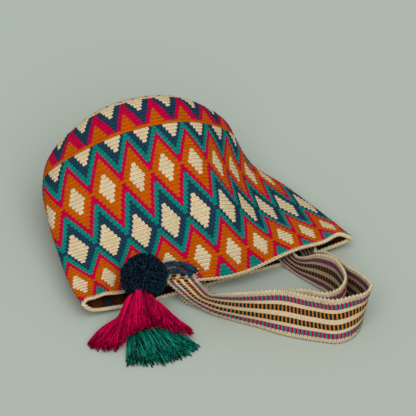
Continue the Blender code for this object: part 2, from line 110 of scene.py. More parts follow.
class Graph:
    """One material's nodes, with short ways to add and join them."""

    def __init__(self, name: str) -> None:
        """Start a material with a Principled shader.

        Args:
            name: Name of the material.
        """
        self.material = bpy.data.materials.new(name)
        self.material.use_nodes = True
        self.tree = self.material.node_tree
        self.shader = self.tree.nodes["Principled BSDF"]

    def put(self, socket: Socket, value: object) -> None:
        """Link a socket to another one, or set its own value.

        Args:
            socket: The input to feed.
            value: An output socket, or a number, colour or vector.
        """
        if isinstance(value, Socket):
            self.tree.links.new(value, socket)
        else:
            socket.default_value = value

    def node(self, kind: str, inputs: dict[str, object] | None = None, **settings: object) -> Node:
        """Add a node.

        Args:
            kind: Type of the node.
            inputs: Values or sockets for its named inputs.
            settings: Its own settings, such as a blend type.

        Returns:
            The node.
        """
        made = self.tree.nodes.new(kind)
        for key, value in settings.items():
            setattr(made, key, value)
        for key, value in (inputs or {}).items():
            self.put(made.inputs[key], value)
        return made

    def math(self, operation: str, first: object, second: object = 0.0) -> Socket:
        """Work out one sum of two numbers.

        Args:
            operation: Name of the operation.
            first: First number or socket.
            second: Second number or socket.

        Returns:
            The result's socket.
        """
        made = self.tree.nodes.new("ShaderNodeMath")
        made.operation = operation
        self.put(made.inputs[0], first)
        self.put(made.inputs[1], second)
        return made.outputs[0]

    def total(self, *terms: tuple[object, float]) -> Socket:
        """Add numbers up, each times its weight.

        Args:
            terms: Socket and weight of each number.

        Returns:
            The sum's socket.
        """
        parts = [self.math("MULTIPLY", value, weight) for value, weight in terms]
        result = parts[0]
        for part in parts[1:]:
            result = self.math("ADD", result, part)
        return result

    def place(self) -> Socket:
        """Place in the piece's map."""
        return self.node("ShaderNodeUVMap", uv_map=STITCH_MAP).outputs[0]

    def chance(self, place: Socket) -> Socket:
        """A number from 0 to 1 that differs from place to place."""
        return self.node("ShaderNodeTexWhiteNoise", {"Vector": place}, noise_dimensions="2D").outputs[0]

    def noise(self, scale: float, detail: float = 2.0) -> Socket:
        """Soft noise over the piece, 0 to 1, with so many cycles a metre and finer octaves."""
        place = self.node("ShaderNodeTexCoord").outputs["Object"]
        return self.node("ShaderNodeTexNoise", dict(Vector=place, Scale=scale, Detail=detail)).outputs[0]


@dataclass(frozen=True)
class YarnFinish:
    """Look of one yarn, with its two colours as a screen shows them."""

    name: str
    colour: str
    shade: str
    roughness: float = 0.85
    specular: float = 0.04
    bump_depth: float = 0.0006
    bump_strength: float = 0.9

    def dress(self, graph: Graph, dark: Socket, height: Socket) -> Material:
        """Give a graph's shader the yarn's colours and relief.

        Args:
            graph: The material's nodes.
            dark: Share of the shade.
            height: Relief.

        Returns:
            The material.
        """
        share = graph.node("ShaderNodeClamp", {"Value": dark}).outputs[0]
        mixed = graph.node("ShaderNodeMix", data_type="RGBA")
        graph.put(mixed.inputs[MIX_SHARE], share)
        graph.put(mixed.inputs[MIX_FIRST], (*display(self.colour), 1.0))
        graph.put(mixed.inputs[MIX_SECOND], (*display(self.shade), 1.0))
        bump = graph.node("ShaderNodeBump", {
            "Height": height, "Distance": self.bump_depth, "Strength": self.bump_strength,
        })
        for socket, value in (
            ("Base Color", mixed.outputs[MIX_RESULT]),
            ("Normal", bump.outputs[0]),
            ("Roughness", self.roughness),
            ("Specular IOR Level", self.specular),
        ):
            graph.put(graph.shader.inputs[socket], value)
        return graph.material


@dataclass(frozen=True)
class StitchedYarn(YarnFinish):
    """Matt cotton yarn worked in stitches. The piece's map counts stitches across and rows along."""

    lines_per_row: float = 2.0
    groove_shade_share: float = 0.52
    line_width: float = 0.34
    line_wobble: float = 0.9
    line_height: float = -0.9
    ply_turns: tuple[float, float] = (3.0, 2.0)
    ply_wobble: float = 3.0
    ply_share: float = -0.14
    ply_height: float = 0.25
    chance_share: float = 0.20
    fuzz_share: float = 0.30
    fuzz_scale: float = 1500.0
    fuzz_height: float = 0.7

    def material(self) -> Material:
        """Build the yarn's material.

        Returns:
            The material.
        """
        graph = Graph(self.name)
        stitch, row = graph.node("ShaderNodeSeparateXYZ", {"Vector": graph.place()}).outputs[:2]
        fuzz = graph.noise(self.fuzz_scale)
        turns = graph.math("MULTIPLY", row, math.pi * self.lines_per_row)
        wobble = graph.math("MULTIPLY", graph.math("SUBTRACT", fuzz, 0.5), self.line_wobble)
        wave = graph.math("ABSOLUTE", graph.math("SINE", graph.math("ADD", wobble, turns)))
        line = graph.math("SUBTRACT", 1.0, graph.math("DIVIDE", wave, self.line_width))
        line = graph.math("MAXIMUM", line, 0.0)
        slant = graph.total((stitch, self.ply_turns[0]), (row, self.ply_turns[1]))
        ply = graph.math("SINE", graph.total((slant, math.tau), (fuzz, self.ply_wobble)))
        cell = {"X": graph.math("FLOOR", stitch), "Y": graph.math("FLOOR", row)}
        chance = graph.chance(graph.node("ShaderNodeCombineXYZ", cell).outputs[0])
        # The row lines paint shade into the grooves between rows, and the ply term paints light and shade
        # along the plies; the stitch chance and the fuzz give the yarn's own uneven tone.
        dark = graph.total(
            (line, self.groove_shade_share), (ply, self.ply_share), (chance, self.chance_share),
            (fuzz, self.fuzz_share),
        )
        height = graph.total((line, self.line_height), (ply, self.ply_height), (fuzz, self.fuzz_height))
        return self.dress(graph, dark, height)


@dataclass(frozen=True)
class LooseYarn(YarnFinish):
    """Yarn that hangs or lies free, such as a cord, a tuft or a fringe."""

    roughness: float = 0.6
    specular: float = 0.2
    bump_depth: float = 0.0002
    bump_strength: float = 0.7
    patch_scale: float = 260.0
    patch_share: float = 0.7
    fibre_scale: float = 2600.0
    fibre_share: float = 0.4
    strand_share: float = 0.5
    light_share: float = 0.45

    def material(self) -> Material:
        """Build the yarn's material.

        Returns:
            The material.
        """
        graph = Graph(self.name)
        patch = graph.noise(self.patch_scale, 1.0)
        fibre = graph.noise(self.fibre_scale)
        chance = graph.chance(graph.place())
        mixed = graph.total(
            (patch, self.patch_share), (fibre, self.fibre_share), (chance, self.strand_share)
        )
        return self.dress(graph, graph.math("SUBTRACT", mixed, self.light_share), fibre)


@dataclass(frozen=True)
class WovenYarn(StitchedYarn):
    """Cotton yarn of the woven strap, with one line of painted shade at each rib."""

    lines_per_row: float = 1.0
    groove_shade_share: float = 0.6


CHART_FINISHES = (
    StitchedYarn("orange_cotton", "d06100", "843000"),
    StitchedYarn("magenta_cotton", "d10044", "800028"),
    StitchedYarn("teal_cotton", "0c8c7e", "004e4c"),
    StitchedYarn("navy_cotton", "24435a", "0a1626"),
    StitchedYarn("beige_cotton", "e2d0aa", "b0926a"),
)
STRAP_FINISHES = (
    WovenYarn("strap_orange", "d07c24", "965410"),
    WovenYarn("strap_magenta", "ba0e54", "6e0630"),
    WovenYarn("strap_teal", "089284", "00544e"),
    WovenYarn("strap_navy", "182a32", "080e14"),
    WovenYarn("strap_beige", "ead6b2", "bc9e76"),
    # Back-face yarns: plum is partly the weave's own purple and partly painted shade; brown and dull are
    # orange and beige with painted shade.
    WovenYarn("strap_plum_with_painted_shade", "7e4462", "50283e"),
    WovenYarn("strap_orange_painted_shade", "965c28", "5a3214"),
    WovenYarn("strap_border", "f6e4c0", "8c7050", groove_shade_share=0.52, fuzz_share=0.45),
    # The hole yarn is painted shade for the small holes beside the borders.
    WovenYarn("strap_hole_shade", "604430", "2c1c14"),
    WovenYarn("strap_beige_painted_shade", "c4ac8a", "7e644a"),
)
# Darker copies of the chart colours for the inside of the bag: painted shade.
SHADED_INSIDE_FINISHES = (
    StitchedYarn("inside_orange_painted_shade", "582c10", "261208"),
    StitchedYarn("inside_magenta_painted_shade", "4c0820", "220410"),
    StitchedYarn("inside_teal_painted_shade", "103830", "061a18"),
    StitchedYarn("inside_navy_painted_shade", "141c24", "06090f"),
    StitchedYarn("inside_beige_painted_shade", "544636", "2a2018"),
)
CORD_FINISH = LooseYarn("cord_navy", "2a4c64", "040911", specular=0.12, strand_share=0.8)
POMPOM_FINISH = LooseYarn(
    "pompom_navy", "2c4960", "000207", roughness=0.9, specular=0.05, strand_share=1.0
)
GREEN_FINISH = LooseYarn("tassel_green", "10a88e", "001210", roughness=0.38, strand_share=1.1)
MAGENTA_FINISH = LooseYarn(
    "tassel_magenta", "e20050", "4c001a", roughness=0.45, specular=0.04, strand_share=1.0
)


def materials(finishes: tuple[YarnFinish, ...]) -> list[Material]:
    """Materials of the finishes, in slot order."""
    return [finish.material() for finish in finishes]


def add_piece(
    name: str, node: str, verts: Array, quads: Array, finishes: list[Material],
    corner_map: Array, face_yarns: Array | None = None,
) -> Object:
    """Make a smooth mesh piece, fix it to the part's body and let it stand for a solid.

    Args:
        name: Name of the piece.
        node: Solid that it replaces.
        verts: Points of the drawing frame.
        quads: Four point numbers for each face.
        finishes: Materials in slot order.
        corner_map: Place in the map at each face corner.
        face_yarns: Slot number of each face.

    Returns:
        The object, set into the part's frame.
    """
    mesh = bpy.data.meshes.new(name)
    moved = verts.reshape(-1, 3) - DRAWING_OFFSET
    moved[:, 2] = np.maximum(moved[:, 2], FLOOR_CLEARANCE)
    count = len(quads)
    mesh.vertices.add(len(moved))
    mesh.vertices.foreach_set("co", moved.astype(np.float32).ravel())
    mesh.loops.add(count * 4)
    mesh.loops.foreach_set("vertex_index", quads.astype(np.int32).ravel())
    mesh.polygons.add(count)
    mesh.polygons.foreach_set("loop_start", np.arange(count, dtype=np.int32) * 4)
    mesh.polygons.foreach_set("loop_total", np.full(count, 4, dtype=np.int32))
    for material in finishes:
        mesh.materials.append(material)
    if face_yarns is not None:
        mesh.polygons.foreach_set("material_index", face_yarns.astype(np.int32).ravel())
    layer = mesh.uv_layers.new(name=STITCH_MAP)
    layer.data.foreach_set("uv", corner_map.astype(np.float32).ravel())
    mesh.update(calc_edges=True)
    mesh.validate()
    mesh.shade_smooth()
    piece = bpy.data.objects.new(name, mesh)
    bpy.context.scene.collection.objects.link(piece)
    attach(piece, BODY)
    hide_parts(node)
    log.info("%s: %d faces", name, count)
    return piece


def face_corners(grid: Array) -> Array:
    """What a grid of points holds at the four corners of each of its faces.

    Args:
        grid: Values by row and column.

    Returns:
        Values by face and corner.
    """
    low, high = grid[:-1], grid[1:]
    corners = np.stack([low[:, :-1], low[:, 1:], high[:, 1:], high[:, :-1]], axis=2)
    return corners.reshape((-1, 4) + grid.shape[2:])


def grid_quads(rows: int, columns: int) -> Array:
    """Point numbers of the faces of a grid whose last column joins its first."""
    number = np.arange(rows * columns).reshape(rows, columns)
    return face_corners(np.pad(number, ((0, 0), (0, 1)), "wrap"))


def map_corners(across: Array, along: Array) -> Array:
    """Places in the map at the corners of each face, from those of the grid's columns and rows."""
    return face_corners(np.stack(np.meshgrid(across, along), axis=-1))


def unit(vectors: Array) -> Array:
    """Vectors at length one."""
    return vectors / np.maximum(np.linalg.norm(vectors, axis=-1, keepdims=True), 1e-12)


def lengths_along(points: Array) -> Array:
    """Length of a line of points, from its start to each point."""
    return np.concatenate([[0.0], np.cumsum(np.linalg.norm(np.diff(points, axis=0), axis=1))])


def dome(place: Array) -> Array:
    """Rounded profile over a cell, 1 in its middle and 0 at its ends."""
    return 1.0 - np.abs(2 * place - 1) ** DOME_POWER


def spline(points: Array, knots: Array, places: Array) -> Array:
    """Smooth curve that passes each point at its knot.

    Args:
        points: Points, or sets of points, one for each knot.
        knots: Rising knots.
        places: Where to read the curve.

    Returns:
        The curve's points at the places.
    """
    shape = (-1,) + (1,) * (points.ndim - 1)
    steps = np.diff(knots).reshape(shape)
    slopes = np.diff(points, axis=0) / steps
    inner = (slopes[:-1] * steps[1:] + slopes[1:] * steps[:-1]) / (steps[1:] + steps[:-1])
    tangents = np.concatenate([slopes[:1], inner, slopes[-1:]])
    k = np.clip(np.searchsorted(knots, places, side="left") - 1, 0, len(knots) - 2)
    span = (knots[k + 1] - knots[k]).reshape(shape)
    t = ((places - knots[k]) / (knots[k + 1] - knots[k])).reshape(shape)
    return (
        points[k] * (2 * t**3 - 3 * t**2 + 1)
        + tangents[k] * span * (t**3 - 2 * t**2 + t)
        + points[k + 1] * (3 * t**2 - 2 * t**3)
        + tangents[k + 1] * span * (t**3 - t**2)
    )


def tubes(paths: Array, radii: Array, sides: int) -> tuple[Array, Array]:
    """Round strands along many paths at once.

    Args:
        paths: Strand, point and coordinate.
        radii: Radius of each strand at each point.
        sides: Sides of a strand, 4 or 6.

    Returns:
        Points and faces, with the strands' ends closed.
    """
    strands, points = paths.shape[:2]
    along = unit(np.gradient(paths, axis=1))
    mean = unit(along.mean(axis=1))
    helper = np.eye(3)[np.argmin(np.abs(mean), axis=1)][:, None, :]
    side = unit(np.cross(along, np.broadcast_to(helper, along.shape)))
    over = np.cross(side, along)
    turn = np.arange(sides) * math.tau / sides
    ring = side[:, :, None, :] * np.cos(turn)[:, None] + over[:, :, None, :] * np.sin(turn)[:, None]
    verts = paths[:, :, None, :] + ring * radii[:, :, None, None]
    first = np.arange(sides)
    last = first + (points - 1) * sides
    caps = [first[[0, 3, 2, 1]], last[[0, 1, 2, 3]]]
    if sides == 6:
        caps += [first[[0, 5, 4, 3]], last[[0, 3, 4, 5]]]
    one = np.concatenate([grid_quads(points, sides)[:, ::-1], np.array(caps)])
    quads = one[None] + (np.arange(strands) * points * sides)[:, None, None]
    return verts.reshape(-1, 3), quads.reshape(-1, 4)


def strand_map(strands: int, faces: int) -> Array:
    """One place in the map for each strand, at the corners of all its faces."""
    number = np.repeat(np.arange(strands) + 0.5, faces * 4)
    return np.stack([number, np.zeros(len(number))], axis=1)


@dataclass
class Wall:
    """Lines plan of the crocheted wall: eight lengthwise lines, given at a few key rows.

    Each line runs from the base to the mouth: its place across the bag, its lead over the lower wall
    towards the mouth, and its height.
    """

    row_height: float = 0.0050
    stitches: int = 160
    lean: float = 0.415
    mouth_row: float = 41.0
    key_rows: tuple[float, ...] = (-9.0, 0.0, 12.0, 24.0, 34.0, 41.0)
    base_rows: tuple[float, float] = (-26.5, -17.5)
    base_share: float = 0.52
    base_dome: float = 2.2
    base_centre: Point = (0.004, -0.243, 0.062)
    heading: float = math.radians(25.0)
    mouth_shift: Point = (0.0025, -0.0055, 0.0)
    fine: int = 120
    rim_row: float = 41.9
    seat_step: float = 1.5
    swells: tuple[Point, ...] = (
        (0.042, 0.028, 0.0085), (0.008, 0.018, 0.0100), (0.462, 0.026, 0.0085),
    )
    swell_first_row: float = 27.0
    lines: dict[str, tuple[Point, ...]] = field(default_factory=lambda: {
        "left_fold": (
            (-0.09, 0.033, 0.071), (-0.117, 0.02, 0.062), (-0.136, 0.014, 0.044),
            (-0.148, 0.01, 0.032), (-0.157, 0.005, 0.026), (-0.158, 0.002, 0.015),
        ),
        "left_shoulder": (
            (-0.039, 0.056, 0.124), (-0.048, 0.052, 0.116), (-0.06, 0.043, 0.088),
            (-0.063, 0.034, 0.053), (-0.074, 0.019, 0.039), (-0.078, -0.004, 0.021),
        ),
        "crest": (
            (0.038, 0.068, 0.126), (0.031, 0.069, 0.124), (0.02, 0.063, 0.107),
            (0.015, 0.06, 0.081), (0.015, 0.039, 0.049), (0.017, 0.022, 0.023),
        ),
        "right_shoulder": (
            (0.098, 0.058, 0.074), (0.098, 0.053, 0.076), (0.085, 0.046, 0.061),
            (0.088, 0.041, 0.046), (0.098, 0.028, 0.037), (0.104, 0.015, 0.03),
        ),
        "right_fold": (
            (0.093, 0.042, 0.03), (0.107, 0.033, 0.019), (0.141, 0.018, 0.014),
            (0.158, 0.013, 0.012), (0.166, 0.009, 0.014), (0.171, 0.006, 0.014),
        ),
        "right_belly": (
            (0.067, 0.008, 0.004), (0.085, -0.002, 0.0), (0.09, 0.0, 0.0),
            (0.09, 0.0, 0.0), (0.09, 0.0, 0.0), (0.09, 0.0, 0.0),
        ),
        "mid_belly": (
            (0.0, 0.002, 0.002), (0.002, 0.0, 0.0), (0.002, 0.0, 0.0),
            (0.003, 0.0, 0.0), (0.003, 0.0, 0.0), (0.004, 0.0, 0.0),
        ),
        "left_belly": (
            (-0.072, 0.01, 0.006), (-0.082, 0.0, 0.0), (-0.084, 0.0, 0.0),
            (-0.084, 0.0, 0.0), (-0.083, 0.0, 0.0), (-0.082, 0.0, 0.0),
        ),
    })

    def __post_init__(self) -> None:
        """Set out the rings that the surface passes."""
        plan = np.array(list(self.lines.values())).transpose(1, 0, 2)
        along = (np.array(self.key_rows)[:, None] - self.mouth_row) * self.row_height + plan[:, :, 1]
        rings = np.stack([plan[:, :, 0], along, plan[:, :, 2]], axis=-1)
        centre = np.array(self.base_centre)
        middle = centre + (rings[0] - centre) * self.base_share
        middle[:, 1] = centre[1] + (rings[0][:, 1] - centre[1]) * self.base_share**self.base_dome
        apex = np.broadcast_to(centre, middle.shape)
        self.rings = np.concatenate([[apex, middle], rings])
        self.ring_rows = np.array(self.base_rows + self.key_rows)

    def section(self, row: float) -> tuple[Array, Array]:
        """Fine closed round of the wall at a row.

        Args:
            row: The row.

        Returns:
            Shares of the round, and the points there across, along and above the bag.
        """
        cage = spline(self.rings, self.ring_rows, np.array([row]))[0]
        before, start, end, after = (np.roll(cage, 1 - k, axis=0)[:, None] for k in range(4))
        t = np.linspace(0.0, 1.0, self.fine + 1)[None, :, None]
        points = 0.5 * (
            2 * start + (end - before) * t + (2 * before - 5 * start + 4 * end - after) * t**2
            + (3 * start - before - 3 * end + after) * t**3
        )
        length = np.cumsum(np.linalg.norm(np.diff(points, axis=1), axis=-1), axis=1)
        share = np.concatenate([np.zeros((len(cage), 1)), length / length[:, -1:]], axis=1)
        share = (share + np.arange(len(cage))[:, None]) / len(cage)
        rise = min(max((row - self.swell_first_row) / (self.mouth_row - self.swell_first_row), 0.0), 1.0)
        points[..., 2] = np.maximum(points[..., 2], 0.0)
        for place, width, height in self.swells:
            away = ((share - place + 0.5) % 1.0 - 0.5) / width
            points[..., 2] += height * rise**2 * np.exp(-(away**2))
        closing = np.concatenate([share[:, :-1].ravel(), [1.0]])
        closed = np.concatenate([points[:, :-1].reshape(-1, 3), points[:1, 0]])
        return closing, closed

    def points(self, rows: Array, shares: Array) -> Array:
        """Points of the outer surface.

        Args:
            rows: Rows, one for each line of shares.
            shares: Shares of the round from the left fold, for each row.

        Returns:
            Points in the drawing frame.
        """
        cos, sin = math.cos(self.heading), math.sin(self.heading)
        local = np.empty(shares.shape + (3,))
        for k, row in enumerate(rows):
            known, closed = self.section(float(row))
            for axis in range(3):
                local[k, :, axis] = np.interp(shares[k] % 1.0, known, closed[:, axis])
        across, along, above = local[..., 0], local[..., 1], local[..., 2]
        shift = self.mouth_shift
        return np.stack([
            shift[0] + across * cos + along * sin,
            shift[1] + across * sin - along * cos,
            above,
        ], axis=-1)

    def seat(self, stitch: float, row: float, lift: float) -> Array:
        """A point at a height over the wall.

        Args:
            stitch: Stitch round the bag.
            row: Row along it.
            lift: Height over the outer surface.

        Returns:
            The point.
        """
        share = (stitch - self.lean * row) / self.stitches
        step = self.seat_step / self.stitches
        ahead = min(row + 1.0, self.mouth_row)
        near = self.points(
            np.array([row, row, row, ahead, row - 1.0]),
            np.array([[share], [share + step], [share - step], [share], [share]]),
        )[:, 0]
        normal = -unit(np.cross(near[1] - near[2], near[3] - near[4]))
        return near[0] + normal * lift

    def cad_corner(self, columns: int = 80, row_step: float = 2.0) -> Array:
        """Left back corner of the outer surface's box, read where the part's solid has its points.

        Args:
            columns: Points in a round of the solid.
            row_step: Rows between its rounds.

        Returns:
            The corner's place in the drawing frame, across and along.
        """
        rows = np.append(np.arange(self.key_rows[0], self.mouth_row + 0.5, row_step), self.rim_row)
        shares = np.broadcast_to(np.arange(columns) / columns, (len(rows), columns))
        cloud = self.points(rows, shares).reshape(-1, 3)
        return np.array([cloud[:, 0].min(), cloud[:, 1].max()])


@dataclass
class Chart:
    """Colour chart of the crochet, one repeat of eight stitches.

    A zigzag line has a steep run in one column and a slanted run, both from the same stitch. A field
    lies above the zigzag line that starts there. A diamond has its first stitch, its top row, and the
    rows that each of its columns takes, counted from the top row. The toe is the triangle of beige that
    stands on the ring.
    """

    repeat: int = 8
    zigzag_rows: int = 9
    zigzags: tuple[tuple[Yarn, int, int], ...] = (
        (Yarn.TEAL, 7, 0), (Yarn.MAGENTA, 0, 2), (Yarn.MAGENTA, 1, 12), (Yarn.TEAL, 2, 14),
        (Yarn.TEAL, 3, 24), (Yarn.MAGENTA, 4, 26), (Yarn.MAGENTA, 5, 36),
    )
    fields: tuple[tuple[Yarn, int, int], ...] = (
        (Yarn.NAVY, 7, 0), (Yarn.ORANGE, 1, 12), (Yarn.NAVY, 3, 24), (Yarn.ORANGE, 5, 36),
    )
    diamonds: tuple[tuple[int, int, tuple[tuple[int, int], ...]], ...] = (
        (3, 8, ((0, 4), (1, 5), (2, 6), (3, 7))),
        (4, 18, ((1, 6), (2, 7), (3, 8), (4, 9), (5, 10))),
        (7, 32, ((0, 4), (1, 5), (2, 6), (3, 7))),
    )
    toe: tuple[int, int] = (2, 5)
    ring_row: int = -1
    base_band_rows: int = 8
    band_start: int = 5
    band_orange: int = 4
    band_magenta: int = 6
    band_navy: int = 8
    base_mark_row: int = -11
    base_mark_pitch: int = 4

    def base_band(self, stitch: int, up: int) -> Yarn:
        """Yarn between the ring and the base.

        Args:
            stitch: Stitch within the repeat.
            up: Rows from the ring towards the base.

        Returns:
            The yarn.
        """
        column = (stitch - self.band_start) % self.repeat
        if up >= self.base_band_rows:
            return Yarn.BEIGE
        if 1 <= column <= self.band_orange - up:
            return Yarn.ORANGE
        if column <= max(0, self.band_magenta - up):
            return Yarn.MAGENTA
        in_navy = column <= self.band_navy - up or column >= self.band_magenta
        return Yarn.NAVY if in_navy else Yarn.BEIGE

    def yarn(self, stitch: int, row: int) -> Yarn:
        """Yarn of one stitch.

        Args:
            stitch: Stitch round the bag.
            row: Row along it.

        Returns:
            The yarn.
        """
        i = stitch % self.repeat
        if row == self.base_mark_row and i % self.base_mark_pitch == 0:
            return Yarn.TEAL
        if row < self.ring_row:
            return self.base_band(i, self.ring_row - 1 - row)
        if row == self.ring_row:
            return Yarn.ORANGE
        for yarn, column, start in self.zigzags:
            down = row - start
            if 0 <= down < self.zigzag_rows and i in (column, (column + down) % self.repeat):
                return yarn
        in_toe = self.toe[0] + row <= i <= self.toe[1]
        if in_toe or any(self.in_diamond(i, row, *diamond) for diamond in self.diamonds):
            return Yarn.BEIGE
        for yarn, column, start in self.fields:
            if row < start + (i - column) % self.repeat:
                return yarn
        return Yarn.TEAL

    def in_diamond(self, stitch: int, row: int, first: int, top: int, spans: tuple) -> bool:
        """True inside one slanted diamond."""
        column = (stitch - first) % self.repeat
        return column < len(spans) and spans[column][0] <= row - top < spans[column][1]

    def cells(self, rows: Array, stitches: Array) -> Array:
        """Yarn numbers of whole rows.

        Args:
            rows: The rows.
            stitches: The stitches.

        Returns:
            Yarn numbers by row and stitch.
        """
        repeat = [[self.yarn(i, row).value for i in range(self.repeat)] for row in rows]
        return np.array(repeat)[:, stitches % self.repeat]


@dataclass
class CrochetBody:
    """The crocheted bag: stitched wall, round base, inside and the edging of the mouth."""

    wall: Wall
    chart: Chart
    per_stitch: int = 4
    per_row: int = 5
    split_row: int = 16
    normal_step: float = 0.25
    stitch_slant: float = -0.2
    row_relief: float = 0.0008
    stitch_relief: float = 0.00022
    colour_groove: float = 0.00030
    knob_end: float = 0.03
    knob_bulge: float = 0.09
    knob_waist: float = 0.20
    jitter: float = 0.00012
    seed: int = 7
    yarn_ranks: tuple[int, ...] = (1, 2, 3, 0, 4)
    base_columns: int = 640
    base_per_row: int = 4
    base_hole: float = 0.25
    base_stitches: int = 8
    base_fade_rows: float = 4.0
    base_least_relief: float = 0.2
    inside_columns: int = 320
    inside_per_row: int = 2
    inside_relief: float = 0.0003
    inside_clearance: float = 0.0025
    fabric: float = 0.0032
    rope_row: float = 41.2
    edging_rows: tuple[float, float] = (-0.6, 0.35)
    edging_sides: int = 14
    edging_per_stitch: int = 6
    edging_radius: float = 0.0021
    edging_lobe: float = 0.10
    edging_slant: float = 0.22

    def __post_init__(self) -> None:
        """Make the yarns' materials."""
        # The second set of materials paints the shade inside the bag as darker copies of the chart
        # colours.
        self.front, self.reverse = materials(CHART_FINISHES), materials(SHADED_INSIDE_FINISHES)

    def build(self) -> None:
        """Build and dress every piece of the bag."""
        self.wall_piece("crochet_wall_lower", int(self.wall.key_rows[0]), self.split_row)
        self.wall_piece("crochet_wall_upper", self.split_row, int(self.wall.mouth_row))
        self.base_piece()
        self.inside_piece()
        self.edging_piece()

    def surface(self, rows: Array, stitches: Array, lean_rows: Array) -> Array:
        """Points of the wall at stitches that stand upright in their row and step aside at the next."""
        shares = (stitches[None, :] - self.wall.lean * lean_rows[:, None]) / self.wall.stitches
        return self.wall.points(rows, shares)

    def round_map(self, rows: Array, columns: int) -> Array:
        """Stitch and row at the face corners of whole rounds."""
        return map_corners(np.arange(columns + 1) * self.wall.stitches / columns, rows)

    def wall_piece(self, name: str, first: int, last: int) -> None:
        """One band of the wall, with every stitch as a rounded knob.

        Args:
            name: Name of the piece.
            first: First row.
            last: Row after the last whole one.
        """
        n, m = self.per_stitch, self.per_row
        v = np.tile(np.linspace(0.0, 1.0, m + 1), last - first)
        row_cell = np.repeat(np.arange(first, last), m + 1)
        rows = row_cell + v
        stitches = np.arange(self.wall.stitches * n) / n
        lean_rows = row_cell + 0.5 + self.stitch_slant * (v - 0.5)
        points = self.surface(rows, stitches, lean_rows)
        across = (np.roll(points, -1, axis=1) - np.roll(points, 1, axis=1)) * n / 2
        step = self.normal_step
        along = (points - self.surface(rows - step, stitches, lean_rows)) / step
        normal = unit(np.cross(along, across))
        cells = self.chart.cells(np.arange(first - 1, last + 1), np.arange(self.wall.stitches))
        row_cell = row_cell - (first - 1)
        stitch_cell = np.floor(stitches + NEARLY).astype(int)
        u = stitches - stitch_cell
        rank = np.array(self.yarn_ranks)[cells]
        here = rank[row_cell][:, stitch_cell]
        left = rank[row_cell][:, stitch_cell - 1]
        before = rank[row_cell - 1][:, stitch_cell]
        after = rank[row_cell + 1][:, stitch_cell]
        on_side = (u < NEARLY)[None, :]
        at_start, at_end = (v < NEARLY)[:, None], (v > 1.0 - NEARLY)[:, None]
        bulge_v = (self.knob_end + self.knob_bulge * np.sin(math.pi * v))[:, None]
        bulge_u = self.knob_bulge * (np.sin(math.pi * u) - self.knob_waist)[None, :]
        shift_s = np.where(on_side, np.sign(left - here) * bulge_v, 0.0)
        shift_r = np.where(at_start, np.sign(before - here) * bulge_u, 0.0)
        shift_r = shift_r + np.where(at_end, np.sign(here - after) * bulge_u, 0.0)
        dome_u, dome_v = dome(u)[None, :], dome(v)[:, None]
        border = (on_side & (left != here)) | (at_start & (before != here)) | (at_end & (after != here))
        knobs = np.random.default_rng(self.seed + abs(first)).normal(0.0, self.jitter, cells.shape)
        height = self.row_relief * dome_v + self.stitch_relief * dome_u - self.colour_groove * border
        height = height + knobs[row_cell][:, stitch_cell] * dome_u * dome_v
        points = points + across * shift_s[..., None] + along * shift_r[..., None]
        points = points + normal * (height - self.row_relief / 2)[..., None]
        add_piece(
            name, "bag_body", points, grid_quads(len(rows), len(stitches))[:, ::-1],
            self.front, self.round_map(rows, len(stitches))[:, ::-1],
            cells[row_cell[:-1]][:, stitch_cell],
        )

    def rounds(self, rows: Array, columns: int, reach: int) -> tuple[Array, Array]:
        """Whole rounds of the surface.

        Args:
            rows: Their rows.
            columns: Points in a round.
            reach: Columns to each side that a point's direction is read from.

        Returns:
            Points, and the directions out of the bag there.
        """
        shares = np.arange(columns) / columns - self.wall.lean * rows[:, None] / self.wall.stitches
        points = self.wall.points(rows, shares)
        across = np.roll(points, -reach, axis=1) - np.roll(points, reach, axis=1)
        return points, unit(np.cross(np.gradient(points, rows, axis=0), across))

    def lidded_piece(
        self, name: str, points: Array, hub: Array, rows: Array, whole: Array, outside: bool
    ) -> None:
        """Add rounds with the first one closed by a lid towards a hub.

        Args:
            name: Name of the piece.
            points: Points by row and column.
            hub: The hub's point.
            rows: Rows of the rounds.
            whole: Row in the chart for each round of faces.
            outside: True if the faces look out of the bag.
        """
        columns = points.shape[1]
        ring = np.arange(0, columns, 2)
        middle = np.full(len(ring), len(rows) * columns)
        lid = np.stack([middle, ring, ring + 1, (ring + 2) % columns], axis=1)
        quads, corners = grid_quads(len(rows), columns), self.round_map(rows, columns)
        if outside:
            quads, corners, lid = quads[:, ::-1], corners[:, ::-1], lid[:, [0, 3, 2, 1]]
        yarns = self.chart.cells(whole.astype(int), np.arange(columns) * self.wall.stitches // columns)
        # Faces inside the bag take the darker copies, which paint its inner shade.
        add_piece(
            name, "bag_body", np.concatenate([points.reshape(-1, 3), hub.reshape(1, 3)]),
            np.concatenate([quads, lid]), self.front if outside else self.reverse,
            np.concatenate([corners, np.zeros((len(lid), 4, 2))]),
            np.concatenate([yarns.ravel(), np.full(len(lid), Yarn.BEIGE.value)]),
        )

    def base_piece(self) -> None:
        """The round base, crocheted in rounds that lose stitches towards its middle."""
        start, end = self.wall.base_rows[0], self.wall.key_rows[0]
        rows = np.linspace(start + self.base_hole, end, int((end - start) * self.base_per_row))
        points, normal = self.rounds(rows, self.base_columns, 1)
        whole = np.floor(rows + NEARLY)
        count = np.round(self.wall.stitches * (whole + 1 - start) / (end + 1 - start))
        count = np.maximum(self.base_stitches, count)
        u = (np.arange(self.base_columns) / self.base_columns * count[:, None]) % 1.0
        fade = np.clip((rows - start) / self.base_fade_rows, self.base_least_relief, 1.0)[:, None]
        height = (self.row_relief * dome(rows - whole)[:, None] + self.stitch_relief * dome(u)) * fade
        points = points + normal * (height - self.row_relief / 2)[..., None]
        hub = self.wall.points(np.array([start]), np.zeros((1, 1)))
        self.lidded_piece("crochet_base", points, hub, rows, whole[:-1], outside=True)

